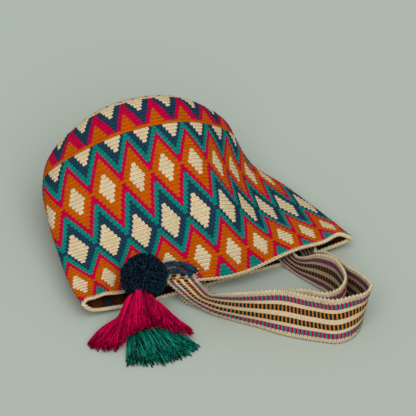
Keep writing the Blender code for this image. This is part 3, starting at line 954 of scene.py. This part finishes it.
    def inside_piece(self) -> None:
        """The inside of the wall: soft ribs along the rows, in darker copies of each colour that paint the
        shade inside the bag.
        """
        start = self.wall.base_rows[0] + 1.0
        rows = np.linspace(start, self.rope_row, int((self.rope_row - start) * self.inside_per_row))
        points, normal = self.rounds(rows, self.inside_columns, 2)
        depth = self.fabric - self.inside_relief * np.sin(math.pi * (rows - np.floor(rows)))
        points = points - normal * depth[:, None, None]
        points[..., 2] = np.maximum(points[..., 2], self.inside_clearance)
        whole = np.floor((rows[:-1] + rows[1:]) / 2)
        hub = points[0].mean(axis=0)
        self.lidded_piece("crochet_inside", points, hub, rows, whole, outside=False)

    def edging_piece(self) -> None:
        """The corded edging of the mouth, a two-ply rope with slanted stitches."""
        sides, columns = self.edging_sides, self.wall.stitches * self.edging_per_stitch
        rows = self.wall.mouth_row + np.array(self.edging_rows)
        shares = np.broadcast_to(np.arange(columns) / columns, (2, columns))
        pair = self.wall.points(rows, shares)
        forward = unit(pair[1] - pair[0])
        tangent = unit(np.roll(pair[1], -1, axis=0) - np.roll(pair[1], 1, axis=0))
        outward = unit(np.cross(forward, tangent))
        centre = pair[1] - outward * (self.fabric / 2)
        turn = np.arange(sides) * math.tau / sides
        stitch = np.arange(columns + 1) / columns * self.wall.stitches
        lobe = 1.0 + self.edging_lobe * np.cos(2 * turn)
        slant = self.edging_slant * np.cos(math.tau * stitch[:-1, None] + 2 * turn)
        radius = self.edging_radius * (lobe + slant)
        ring = outward[:, None] * np.cos(turn)[:, None] + forward[:, None] * np.sin(turn)[:, None]
        points = centre[:, None] + ring * radius[..., None]
        number = np.pad(np.arange(columns * sides).reshape(columns, sides).T, (0, 1), "wrap")
        quads = face_corners(number)
        corners = map_corners(stitch, np.arange(sides + 1) / sides)
        yarns = np.full(len(quads), Yarn.BEIGE.value)
        add_piece("mouth_edging", "bag_body", points, quads, self.front, corners, yarns)


@dataclass
class Stripe:
    """One stripe of the strap: its share of the width, its columns of faces and its yarns."""

    share: float
    columns: int
    yarns: tuple[Yarn, ...]
    # Yarns of the back face, some of them darkened as painted shade.
    reverse: tuple[Yarn, ...]


@dataclass
class ShoulderStrap:
    """The woven strap, one long band with blocks of colour between crocheted borders."""

    wall: Wall
    width: float = 0.056
    thickness: float = 0.0030
    block_pitch: float = 0.0045
    steps_per_pitch: int = 5
    dark_steps: int = 3
    turned_station: int = 22
    seat_stitches: tuple[float, float] = (40.0, 48.5)
    seat_rows: tuple[float, ...] = (38.0, 39.6, 41.9)
    fine: int = 4000
    relief: float = 0.00028
    rib_share: float = 0.5
    knot_share: float = 2.4
    knot_length: float = 0.0031
    knot_width: float = 0.0034
    edge_share: float = 0.55
    border_bobble: float = 0.0011
    bobble_beat: float = 0.98
    thread_step: float = 0.6
    stripes: tuple[Stripe, ...] = (
        Stripe(0.102, 5, (Yarn.BORDER,), (Yarn.BORDER,)),
        Stripe(0.122, 3, (Yarn.MAGENTA, Yarn.TEAL), (Yarn.SHADED_PLUM,)),
        Stripe(0.072, 2, (Yarn.BEIGE,), (Yarn.SHADED_BEIGE,)),
        Stripe(0.133, 3, (Yarn.NAVY, Yarn.ORANGE), (Yarn.NAVY, Yarn.SHADED_ORANGE)),
        Stripe(0.112, 3, (Yarn.BEIGE,), (Yarn.SHADED_BEIGE,)),
        Stripe(0.143, 3, (Yarn.NAVY, Yarn.ORANGE), (Yarn.NAVY, Yarn.SHADED_ORANGE)),
        Stripe(0.081, 2, (Yarn.BEIGE,), (Yarn.SHADED_BEIGE,)),
        Stripe(0.123, 3, (Yarn.MAGENTA, Yarn.TEAL), (Yarn.SHADED_PLUM,)),
        Stripe(0.112, 5, (Yarn.BORDER,), (Yarn.BORDER,)),
    )
    stations: tuple[tuple[Point, Point, float], ...] = (
        ((-0.047, -0.0383, 0.0277), (0.0343, 0.0079, -0.0022), 0.63),
        ((-0.0425, -0.0399, 0.0235), (0.0341, 0.0044, -0.0005), 0.61),
        ((-0.033, -0.0441, 0.0177), (0.0299, -0.0084, 0.0094), 0.58),
        ((-0.0175, -0.0527, 0.0095), (0.0206, -0.0195, 0.026), 0.69),
        ((0.002, -0.0626, 0.0029), (0.0111, -0.0216, 0.0416), 0.86),
        ((0.03, -0.0755, 0.001), (0.001, -0.018, 0.051), 0.97),
        ((0.055, -0.087, 0.001), (-0.003, -0.009, 0.054), 1.0),
        ((0.08, -0.1005, 0.001), (0.0, 0.007, 0.055), 1.0),
        ((0.119, -0.113, 0.001), (-0.004, 0.008, 0.055), 1.0),
        ((0.146, -0.1165, 0.001), (-0.005, 0.005, 0.055), 1.0),
        ((0.161, -0.105, 0.001), (-0.001, 0.0, 0.055), 1.0),
        ((0.1675, -0.0885, 0.001), (0.006, -0.009, 0.054), 1.0),
        ((0.169, -0.072, 0.001), (0.011, -0.011, 0.053), 1.0),
        ((0.166, -0.057, 0.001), (0.011, -0.013, 0.052), 0.98),
        ((0.16, -0.044, 0.001), (0.008, -0.013, 0.051), 0.97),
        ((0.15, -0.029, 0.001), (0.004, -0.012, 0.05), 0.93),
        ((0.14, -0.016, 0.001), (0.005, -0.009, 0.047), 0.87),
        ((0.13, -0.002, 0.001), (0.007, -0.008, 0.042), 0.78),
        ((0.122, 0.01, 0.001), (0.007, -0.002, 0.034), 0.62),
        ((0.114, 0.022, 0.0025), (0.006, 0.001, 0.022), 0.4),
        ((0.107, 0.034, 0.008), (0.01, 0.006, 0.007), 0.3),
        ((0.101, 0.047, 0.0086), (0.011, 0.009, 0.008), 0.3),
        ((0.092, 0.054, 0.008), (0.01, 0.01, 0.008), 0.3),
        ((0.082, 0.051, 0.0076), (0.009, 0.009, 0.009), 0.3),
        ((0.077, 0.04, 0.007), (0.012, 0.005, 0.011), 0.32),
        ((0.08, 0.029, 0.0062), (0.013, 0.002, 0.013), 0.34),
        ((0.091, 0.019, 0.0025), (0.009, -0.006, 0.021), 0.43),
        ((0.103, 0.006, 0.001), (0.006, -0.008, 0.034), 0.63),
        ((0.117, -0.008, 0.001), (0.003, -0.004, 0.044), 0.8),
        ((0.13, -0.021, 0.001), (0.001, -0.003, 0.052), 0.93),
        ((0.141, -0.036, 0.001), (0.0, 0.0, 0.055), 1.0),
        ((0.149, -0.053, 0.001), (0.001, -0.003, 0.055), 1.0),
        ((0.151, -0.069, 0.001), (0.001, 0.0, 0.055), 1.0),
        ((0.149, -0.082, 0.001), (0.001, 0.001, 0.055), 1.0),
        ((0.143, -0.094, 0.001), (0.0, 0.001, 0.055), 1.0),
        ((0.131, -0.101, 0.001), (0.001, 0.003, 0.055), 0.99),
        ((0.109, -0.0985, 0.001), (-0.002, 0.007, 0.055), 0.99),
        ((0.08, -0.089, 0.001), (0.0, 0.0, 0.055), 0.93),
        ((0.053, -0.0765, 0.001), (-0.003, -0.0135, 0.052), 0.93),
        ((0.029, -0.0655, 0.001), (-0.003, -0.02, 0.046), 0.88),
        ((0.01, -0.0565, 0.0015), (0.002, -0.015, 0.033), 0.62),
        ((-0.007, -0.0515, 0.0025), (0.014, -0.003, 0.015), 0.5),
        ((-0.024, -0.0455, 0.003), (0.026, 0.009, 0.006), 0.54),
        ((-0.033, -0.032, 0.0055), (0.031, 0.013, 0.003), 0.6),
        ((-0.038, -0.02, 0.0078), (0.033, 0.014, 0.0), 0.64),
        ((-0.041, -0.008, 0.0062), (0.033, 0.014, 0.0), 0.66),
        ((-0.045, 0.006, 0.0056), (0.033, 0.014, 0.0), 0.68),
    )

    def rails(self) -> tuple[Array, Array]:
        """The strap's lower and upper border, from its seat on the upper wall to its end in the mouth.

        Returns:
            The two borders' points.
        """
        lift = SEAM_GAP + self.thickness / 2
        low = [self.wall.seat(self.seat_stitches[0], row, lift) for row in self.seat_rows]
        high = [self.wall.seat(self.seat_stitches[1], row, lift) for row in self.seat_rows]
        for foot, reach, spread in self.stations:
            start = np.array(foot)
            low.append(start)
            high.append(start + unit(np.array(reach)) * self.width * spread)
        return np.array(low), np.array(high)

    def build(self) -> None:
        """Weave the band and dress it."""
        low, high = self.rails()
        middle = (low + high) / 2
        knots = lengths_along(middle)
        places = np.linspace(0.0, knots[-1], self.fine)
        length = lengths_along(spline(middle, knots, places))
        step = self.block_pitch / self.steps_per_pitch
        count = int(length[-1] / step)
        travelled = np.linspace(0.0, length[-1], count + 1)
        places = np.interp(travelled, length, places)
        lower, upper = spline(low, knots, places), spline(high, knots, places)
        edges = np.concatenate([[0.0], np.cumsum([stripe.share for stripe in self.stripes])])
        edges /= edges[-1]
        shares, owner = [0.0], []
        for k, stripe in enumerate(self.stripes):
            shares += list(np.linspace(edges[k], edges[k + 1], stripe.columns + 1)[1:])
            owner += [k] * stripe.columns
        t = np.array(shares)
        centre = lower[:, None] * (1 - t)[:, None] + upper[:, None] * t[:, None]
        across = unit(upper - lower)[:, None]
        normal = unit(np.cross(unit(np.gradient(centre, axis=0)), across))
        height = self.section_relief(t, edges, owner, travelled)[..., None]
        bobble = self.border_bobble * np.sin(math.tau * travelled / self.block_pitch * self.bobble_beat)
        outer = np.zeros(len(t))
        outer[0], outer[-1] = -1.0, 1.0
        centre = centre + across * (bobble[:, None] * outer)[..., None]
        front, back = centre + normal * height, centre - normal * height
        loop = np.concatenate([front, back[:, ::-1]], axis=1)
        wide = 2 * len(t)
        turn = np.interp(knots[len(self.seat_rows) + self.turned_station], places, travelled)
        corners = map_corners(np.arange(wide + 1) * self.thread_step, travelled / (self.block_pitch / 2))
        add_piece(
            "strap_band", "shoulder_strap", loop, grid_quads(count + 1, wide)[:, ::-1],
            materials(STRAP_FINISHES), corners[:, ::-1], self.face_yarns(travelled[:-1] > turn, owner),
        )
        log.info("strap length %.3f m", length[-1])

    def section_relief(self, t: Array, edges: Array, owner: list[int], travelled: Array) -> Array:
        """Height of the surface over the band's middle, at each step along and each column across.

        Args:
            t: Shares of the width.
            edges: Shares where stripes meet.
            owner: Stripe of each column of faces.
            travelled: Length along the strap.

        Returns:
            Heights.
        """
        half = self.thickness / 2
        phase = np.arange(len(travelled)) % self.steps_per_pitch
        near = np.abs(t[:, None] - edges[None, 1:-1]).min(axis=1)
        groove = np.where(near < NEARLY, -self.relief, 0.0)
        border = np.array([o in (0, len(self.stripes) - 1) for o in owner + [owner[-1]]])
        rib = self.relief * self.rib_share * np.cos(math.tau * phase / self.steps_per_pitch)[:, None]
        knot = self.relief * self.knot_share * np.sin(math.tau * travelled / self.knot_length)[:, None]
        knot = knot * np.sin(math.tau * t * self.width / self.knot_width)
        height = half + groove + np.where(border, knot, rib)
        height[:, [0, -1]] = half * self.edge_share
        return height

    def face_yarns(self, turned: Array, owner: list[int]) -> Array:
        """Yarn number of each face, along the strap and round its section.

        Args:
            turned: For each step along the strap, true where its back, which carries painted shade, faces
                out.
            owner: Stripe of each column of faces.

        Returns:
            Yarn numbers.
        """
        phase = np.arange(len(turned)) % self.steps_per_pitch

        def column(yarns: tuple[Yarn, ...]) -> Array:
            """Yarns of one column of faces along the strap."""
            return np.where(phase < self.dark_steps, yarns[0].value, yarns[-1].value)

        last = len(self.stripes) - 1
        holes = (owner.index(1) - 1, len(owner) - 1 - owner[::-1].index(last - 1) + 1)
        front, back = [], []
        for place, k in enumerate(owner):
            face, reverse = column(self.stripes[k].yarns), column(self.stripes[k].reverse)
            # At each rib, the faces beside each border take painted shade for the hole there.
            if place in holes:
                face = np.where(phase == 0, Yarn.HOLE_SHADE.value, face)
            front.append(np.where(turned, reverse, face))
            back.append(np.where(turned, face, reverse))
        side = np.full(len(turned), Yarn.BORDER.value)
        return np.stack(front + [side] + back[::-1] + [side], axis=1)


@dataclass
class ClosingCord:
    """Two braided strands that come out of the bag and carry the pom-pom."""

    diameter: float = 0.0054
    loose_share: float = 1.14
    plies: int = 8
    sides: int = 6
    braid_pitch: float = 0.018
    ply_share: float = 0.31
    weave_share: float = 0.18
    core_share: float = 0.62
    point_step: float = 0.0008
    upper_route: tuple[Point, ...] = (
        (-0.0488, -0.0382, 0.0484), (-0.0409, -0.0291, 0.045), (-0.0323, -0.0237, 0.0409),
        (-0.0239, -0.0233, 0.038), (-0.0171, -0.0266, 0.0366), (-0.0122, -0.028, 0.0332),
    )
    lower_route: tuple[Point, ...] = (
        (-0.0475, -0.0415, 0.0429), (-0.04, -0.0352, 0.0393), (-0.0367, -0.0297, 0.036),
        (-0.0281, -0.029, 0.0344), (-0.0204, -0.0293, 0.0323), (-0.0184, -0.0294, 0.0313),
    )

    def strand(self, name: str, node: str, route: tuple[Point, ...]) -> Object:
        """Braid one strand along its route.

        Args:
            name: Name of the piece.
            node: Solid that it replaces.
            route: Points that the strand passes, from the pom-pom to the bag.

        Returns:
            The piece, with its path and length kept on the cord.
        """
        points = np.array(route)[::-1]
        knots = lengths_along(points)
        count = int(knots[-1] / self.point_step)
        line = spline(points, knots, np.linspace(0.0, knots[-1], count + 1))
        travelled = lengths_along(line)
        along = unit(np.gradient(line, axis=0))
        side = unit(np.cross(along, np.array([0.0, 0.0, 1.0])))
        over = np.cross(side, along)
        radius = self.diameter / 2 * self.loose_share
        ply = radius * self.ply_share
        paths = []
        for k in range(self.plies):
            way = 1 if k % 2 else -1
            start = (k // 2) * math.tau / (self.plies // 2) + (0.0 if way > 0 else math.pi / self.plies)
            turn = start + way * math.tau * travelled / self.braid_pitch
            weave = np.cos(self.plies * math.pi * travelled / self.braid_pitch + way * start)
            reach = (radius - ply) * (1.0 + self.weave_share * way * weave)
            paths.append(
                line + side * (np.cos(turn) * reach)[:, None] + over * (np.sin(turn) * reach)[:, None]
            )
        shape = (self.plies, len(line))
        verts, quads = tubes(np.array(paths), np.full(shape, ply), self.sides)
        thick = np.full((1, len(line)), radius * self.core_share)
        core, core_quads = tubes(line[None], thick, self.sides)
        places = strand_map(self.plies + 1, len(core_quads))
        quads = np.concatenate([quads, core_quads + len(verts)])
        self.path = line - DRAWING_OFFSET
        self.length = float(travelled[-1])
        verts = np.concatenate([verts, core])
        return add_piece(name, node, verts, quads, materials((CORD_FINISH,)), places)

    def build(self, hung: list[Object]) -> None:
        """Args:
            hung: The pom-pom and the tassels that hang on them. Not used.
        """
        for name, route, node in (
            ("cord_braid_upper", self.upper_route, "cord_upper_strand"),
            ("cord_braid_lower", self.lower_route, "cord_lower_strand"),
        ):
            piece = self.strand(name, node, route)


@dataclass
class PomPom:
    """Ball of cut yarn."""

    diameter: float = 0.051
    centre: Point = (-0.071, -0.0522, 0.0438)
    tufts: int = 1500
    tuft_strands: int = 3
    sides: int = 4
    root_share: float = 0.62
    yarn_radius: float = 0.00058
    heart_share: float = 0.88
    proud_share: float = 1.045
    shortest_share: float = 0.97
    trim_share: float = 0.02
    tuft_bend: float = 0.14
    bend_share: float = 0.4
    strand_spread: float = 0.028
    strand_profile: tuple[float, ...] = (0.8, 1.0, 1.05, 1.1)
    pole_tilt: float = 0.03
    seed: int = 11

    def build(self) -> Object:
        """Make the ball.

        Returns:
            The piece.
        """
        chance = np.random.default_rng(self.seed)
        index = np.arange(self.tufts) + 0.5
        height = 1.0 - 2.0 * index / self.tufts
        turn = index * math.pi * (1.0 + math.sqrt(5.0))
        flat = np.sqrt(1.0 - height**2)
        way = np.stack([flat * np.cos(turn), flat * np.sin(turn), height], axis=1)
        bend = np.repeat(chance.normal(0.0, self.tuft_bend, way.shape), self.tuft_strands, axis=0)
        tip = chance.uniform(self.shortest_share, self.proud_share, self.tufts)
        tip = np.repeat(tip, self.tuft_strands)
        way = np.repeat(way, self.tuft_strands, axis=0)
        way = unit(way + chance.normal(0.0, self.strand_spread, way.shape))
        radius = self.diameter / 2
        tip = radius * (tip + chance.uniform(-self.trim_share, 0.0, len(tip)))
        root = radius * self.root_share
        gap = np.stack([
            way * (root + (tip - root) * share)[:, None] + bend * (radius * self.bend_share * share**2)
            for share in np.linspace(0.0, 1.0, len(self.strand_profile))
        ], axis=1)
        far = np.linalg.norm(gap, axis=-1, keepdims=True)
        paths = np.array(self.centre) + gap / far * np.minimum(far, radius * self.proud_share)
        radii = self.yarn_radius * np.broadcast_to(np.array(self.strand_profile), paths.shape[:2])
        verts, quads = tubes(paths, radii, self.sides)
        ball, ball_quads = self.heart()
        places = strand_map(len(paths), len(quads) // len(paths))
        places = np.concatenate([places, np.zeros((len(ball_quads) * 4, 2))])
        quads = np.concatenate([quads, ball_quads + len(verts)])
        verts = np.concatenate([verts, ball])
        finishes = materials((POMPOM_FINISH,))
        return add_piece("pompom_tufts", "pompom", verts, quads, finishes, places)

    def heart(self, rings: int = 24, columns: int = 48) -> tuple[Array, Array]:
        """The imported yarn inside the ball, as a smaller ball.

        Args:
            rings: Rings from pole to pole.
            columns: Points in a ring.

        Returns:
            Points and faces.
        """
        tilt = np.linspace(self.pole_tilt, math.pi - self.pole_tilt, rings)
        turn = np.arange(columns) * math.tau / columns
        radius = self.diameter / 2 * self.heart_share
        points = np.stack([
            np.sin(tilt)[:, None] * np.cos(turn), np.sin(tilt)[:, None] * np.sin(turn),
            np.broadcast_to(np.cos(tilt)[:, None], (rings, columns)),
        ], axis=-1)
        return np.array(self.centre) + points.reshape(-1, 3) * radius, grid_quads(rings, columns)


@dataclass
class Tassel:
    """A yarn skirt that spreads from its neck and lies down as a fan of strands."""

    name: str
    node: str
    slot: str
    finish: LooseYarn
    neck: Point
    neck_radius: float
    fan: tuple[float, float]
    lengths: tuple[float, ...]
    thickness: tuple[float, float]
    strands: int
    yarn_radius: float
    seed: int
    below: "Tassel | None" = None
    dips: tuple[float, ...] = ()
    dip_width: float = 0.035
    dip_depth: float = 0.65
    bevel: float = 0.05
    clumps: int = 34
    clump_share: float = 0.6
    bow: float = 0.0
    head_droop: float = 0.010
    head_round: float = 0.006
    ridge: float = 0.0012
    gap: float = 0.0006
    rings: int = 18
    sides: int = 4
    taper: float = 0.9
    thick_power: float = 0.7
    edge_share: float = 0.35
    edge_power: int = 4
    ridges: int = 7
    below_grid: tuple[int, int] = (61, 19)
    batch: int = 4000
    lie_reach: float = 0.012
    lie_fade: float = 0.005
    spoke_limits: tuple[float, float] = (0.01, 0.99)
    stop_share: tuple[float, float] = (0.985, 0.03)
    stop_limits: tuple[float, float] = (0.88, 1.04)
    layer_power: float = 0.8
    drift: float = 0.022
    drift_power: float = 1.5
    wave_turns: tuple[float, float] = (3.0, 9.0)
    wander: tuple[float, float] = (0.004, 0.016)
    lift: float = 0.28
    lift_beat: float = 1.7

    def plan(self, spoke: Array, ring: Array) -> tuple[Array, ...]:
        """Plan place, underside and upper side of the skirt.

        Args:
            spoke: Share of the fan.
            ring: Share of the length.

        Returns:
            Place in x and y, underside and upper side.
        """
        middle = 0.5 * (self.fan[0] + self.fan[1])
        spread = (self.fan[1] - self.fan[0]) * (spoke - 0.5)
        angle = np.radians(middle + spread * (1.0 + self.bow * (1.0 - np.clip(ring, 0.0, 1.0))))
        side = math.radians(middle) + math.pi / 2
        offset = (spoke - 0.5) * 2 * self.neck_radius
        knots = np.arange(len(self.lengths), dtype=float)
        reach = spline(np.array(self.lengths), knots, (spoke * knots[-1]).ravel()).reshape(spoke.shape)
        distance = reach * ring
        x = self.neck[0] + math.cos(side) * offset + np.cos(angle) * distance
        y = self.neck[1] + math.sin(side) * offset + np.sin(angle) * distance
        edge = np.sqrt(np.maximum(0.0, 1.0 - (2 * spoke - 1) ** self.edge_power))
        grown = np.maximum(ring, 0.0) ** self.thick_power
        thick = self.thickness[0] + (self.thickness[1] - self.thickness[0]) * grown
        low = self.floor(x, y) + self.neck[2] * (1 - np.minimum(ring, 1.0)) ** 2
        high = low + thick * (self.edge_share + (1.0 - self.edge_share) * edge)
        high = high + self.ridge * np.cos(spoke * math.tau * self.ridges) * edge
        return x, y, low, high

    def floor(self, x: Array, y: Array) -> Array:
        """Height of what the skirt lies on.

        Args:
            x: Places across.
            y: Places along.

        Returns:
            Heights.
        """
        if self.below is None:
            return np.zeros(x.shape)
        spokes, rings = np.meshgrid(*(np.linspace(0, 1, count) for count in self.below_grid))
        sx, sy, _, top = (a.ravel() for a in self.below.plan(spokes, rings))
        place = np.stack([x.ravel(), y.ravel()], axis=1)
        height = np.zeros(len(place))
        for k in range(0, len(place), self.batch):
            part = place[k : k + self.batch]
            near = np.hypot(part[:, :1] - sx, part[:, 1:] - sy)
            fade = np.clip((self.lie_reach - near) / self.lie_fade, 0.0, 1.0)
            height[k : k + self.batch] = ((top + self.gap) * fade).max(axis=1)
        return height.reshape(x.shape)

    def build(self) -> Object:
        """Lay the strands.

        Returns:
            The piece.
        """
        chance = np.random.default_rng(self.seed)
        spoke = chance.uniform(*self.spoke_limits, self.strands)
        clump = np.round(spoke * self.clumps) / self.clumps
        spoke = spoke + (clump - spoke) * chance.uniform(0.0, self.clump_share, self.strands)
        layer = chance.uniform(0.0, 1.0, self.strands) ** self.layer_power
        stop = chance.normal(*self.stop_share, self.strands).clip(*self.stop_limits) - self.bevel * layer
        share = np.linspace(0.0, 1.0, self.rings)
        ring = stop[:, None] * share
        each = (self.strands, 1)
        drift = chance.normal(0.0, self.drift, each) * share**self.drift_power
        wave = chance.uniform(0, math.tau, each) + share * chance.uniform(*self.wave_turns, each)
        wander = np.sin(wave) * share * chance.uniform(*self.wander, each)
        spokes = np.clip(spoke[:, None] + drift + wander, 0.0, 1.0)
        x, y, low, high = self.plan(spokes, ring)
        lift = self.lift * np.sin(wave * self.lift_beat) * share
        level = np.clip(layer[:, None] + lift, 0.0, 1.0)
        for dip in self.dips:
            level = level * (1.0 - self.dip_depth * np.exp(-(((spokes - dip) / self.dip_width) ** 2)))
        z = low + self.yarn_radius + (high - low - 2 * self.yarn_radius) * level
        droop = (2 * spokes - 1) ** 2 * (1.0 - np.minimum(ring, 1.0)) ** 2
        z = np.maximum(z - self.head_droop * droop, self.yarn_radius)
        y = y - self.head_round * droop
        paths = np.stack([x, y, z], axis=-1)
        thin = np.linspace(1.0, self.taper, self.rings)
        radii = self.yarn_radius * np.broadcast_to(thin, paths.shape[:2])
        verts, quads = tubes(paths, radii, self.sides)
        places = strand_map(self.strands, len(quads) // self.strands)
        return add_piece(self.name, self.node, verts, quads, materials((self.finish,)), places)


@dataclass
class Studio:
    """Pale floor, soft light and the camera at the photograph's angle."""

    floor_colour: str = "aeb8ad"
    floor_size: float = 40.0
    photo_side: int = 416
    pixels_per_metre: float = 900.0
    centre_height: float = 281.0
    elevation: float = math.radians(36.0)
    lens: float = 1200.0
    sensor: float = 36.0
    sky: float = 0.45
    sun_share: float = 0.56
    sun_from: Point = (0.10, -0.82, 0.84)
    sun_angle: float = math.radians(60.0)

    def camera(self) -> None:
        """Set the camera up."""
        wide = self.photo_side / self.pixels_per_metre
        distance = wide * self.lens / self.sensor
        rise = (self.centre_height - self.photo_side / 2) / self.pixels_per_metre
        back = Vector((0.0, -math.cos(self.elevation), math.sin(self.elevation)))
        up = Vector((0.0, math.sin(self.elevation), math.cos(self.elevation)))
        data = bpy.data.cameras.new("photo_camera")
        data.lens = self.lens
        data.sensor_width = self.sensor
        data.clip_end = 2 * distance
        camera = bpy.data.objects.new("photo_camera", data)
        camera.location = up * rise - Vector(DRAWING_OFFSET) + back * distance
        camera.rotation_mode = "QUATERNION"
        camera.rotation_quaternion = (-back).to_track_quat("-Z", "Y")
        bpy.context.scene.collection.objects.link(camera)
        bpy.context.scene.camera = camera

    def floor(self) -> None:
        """Lay the pale floor."""
        graph = Graph("pale_floor")
        colour = (*display(self.floor_colour), 1.0)
        for key, value in (("Base Color", colour), ("Roughness", 1.0), ("Specular IOR Level", 0.0)):
            graph.put(graph.shader.inputs[key], value)
        mesh = bpy.data.meshes.new("floor")
        half = self.floor_size / 2
        corners = [(-half, -half, 0), (half, -half, 0), (half, half, 0), (-half, half, 0)]
        mesh.from_pydata(corners, [], [(0, 1, 2, 3)])
        mesh.materials.append(graph.material)
        floor = bpy.data.objects.new("floor", mesh)
        bpy.context.scene.collection.objects.link(floor)

    def light(self) -> None:
        """Light the scene with a soft sky and a soft key light."""
        world = bpy.data.worlds.new("soft_sky")
        world.use_nodes = True
        sky = world.node_tree.nodes["Background"]
        sky.inputs["Color"].default_value = (1.0, 1.0, 1.0, 1.0)
        sky.inputs["Strength"].default_value = self.sky
        bpy.context.scene.world = world
        toward = Vector(self.sun_from).normalized()
        lamp = bpy.data.lights.new("key_light", "SUN")
        lamp.energy = self.sun_share * math.pi / toward.z
        lamp.angle = self.sun_angle
        key = bpy.data.objects.new("key_light", lamp)
        key.rotation_mode = "QUATERNION"
        key.rotation_quaternion = (-toward).to_track_quat("-Z", "Y")
        bpy.context.scene.collection.objects.link(key)

    def build(self) -> None:
        """Set up camera, floor and lights."""
        self.camera()
        self.floor()
        self.light()
        bpy.context.scene.view_settings.view_transform = "Standard"


def drawing_offset(wall: Wall) -> Array:
    """Where the part's origin lies in the drawing frame.

    Args:
        wall: The bag's lines plan.

    Returns:
        The offset to take from a point of the drawing frame.
    """
    corner = wall.cad_corner()
    low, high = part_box("bag_body")
    return np.array([corner[0] - low[0], corner[1] - high[1], 0.0])


WALL = Wall()
DRAWING_OFFSET = drawing_offset(WALL)


def main() -> None:
    """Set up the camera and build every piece."""
    logging.basicConfig(level=logging.INFO, format="%(name)s: %(message)s")
    log.info("drawing offset %s", DRAWING_OFFSET)
    Studio().build()
    inner = Tassel(
        "tassel_green_strands", "tassel_inner", "green_tassel_yarn", GREEN_FINISH,
        neck=(-0.075, -0.080, 0.0), neck_radius=0.014, fan=(-92.0, -42.0),
        lengths=(0.075, 0.080, 0.083, 0.083, 0.080, 0.074), thickness=(0.013, 0.010),
        strands=560, yarn_radius=0.00078, seed=3, bevel=0.22, clumps=60, clump_share=0.4,
    )
    outer = Tassel(
        "tassel_magenta_strands", "tassel_outer", "magenta_tassel_yarn", MAGENTA_FINISH,
        neck=(-0.0755, -0.0779, 0.0208), neck_radius=0.016, fan=(-134.0, -33.0),
        lengths=(0.060, 0.063, 0.055, 0.037, 0.033, 0.038, 0.058, 0.053), thickness=(0.011, 0.011),
        strands=460, yarn_radius=0.00082, seed=5, below=inner, bow=0.6, dips=(0.30, 0.62),
    )
    pompom = PomPom().build()
    inner.build()
    outer.build()
    ClosingCord().build([pompom])
    ShoulderStrap(WALL).build()
    CrochetBody(WALL, Chart()).build()


if __name__ == "__main__":
    main()
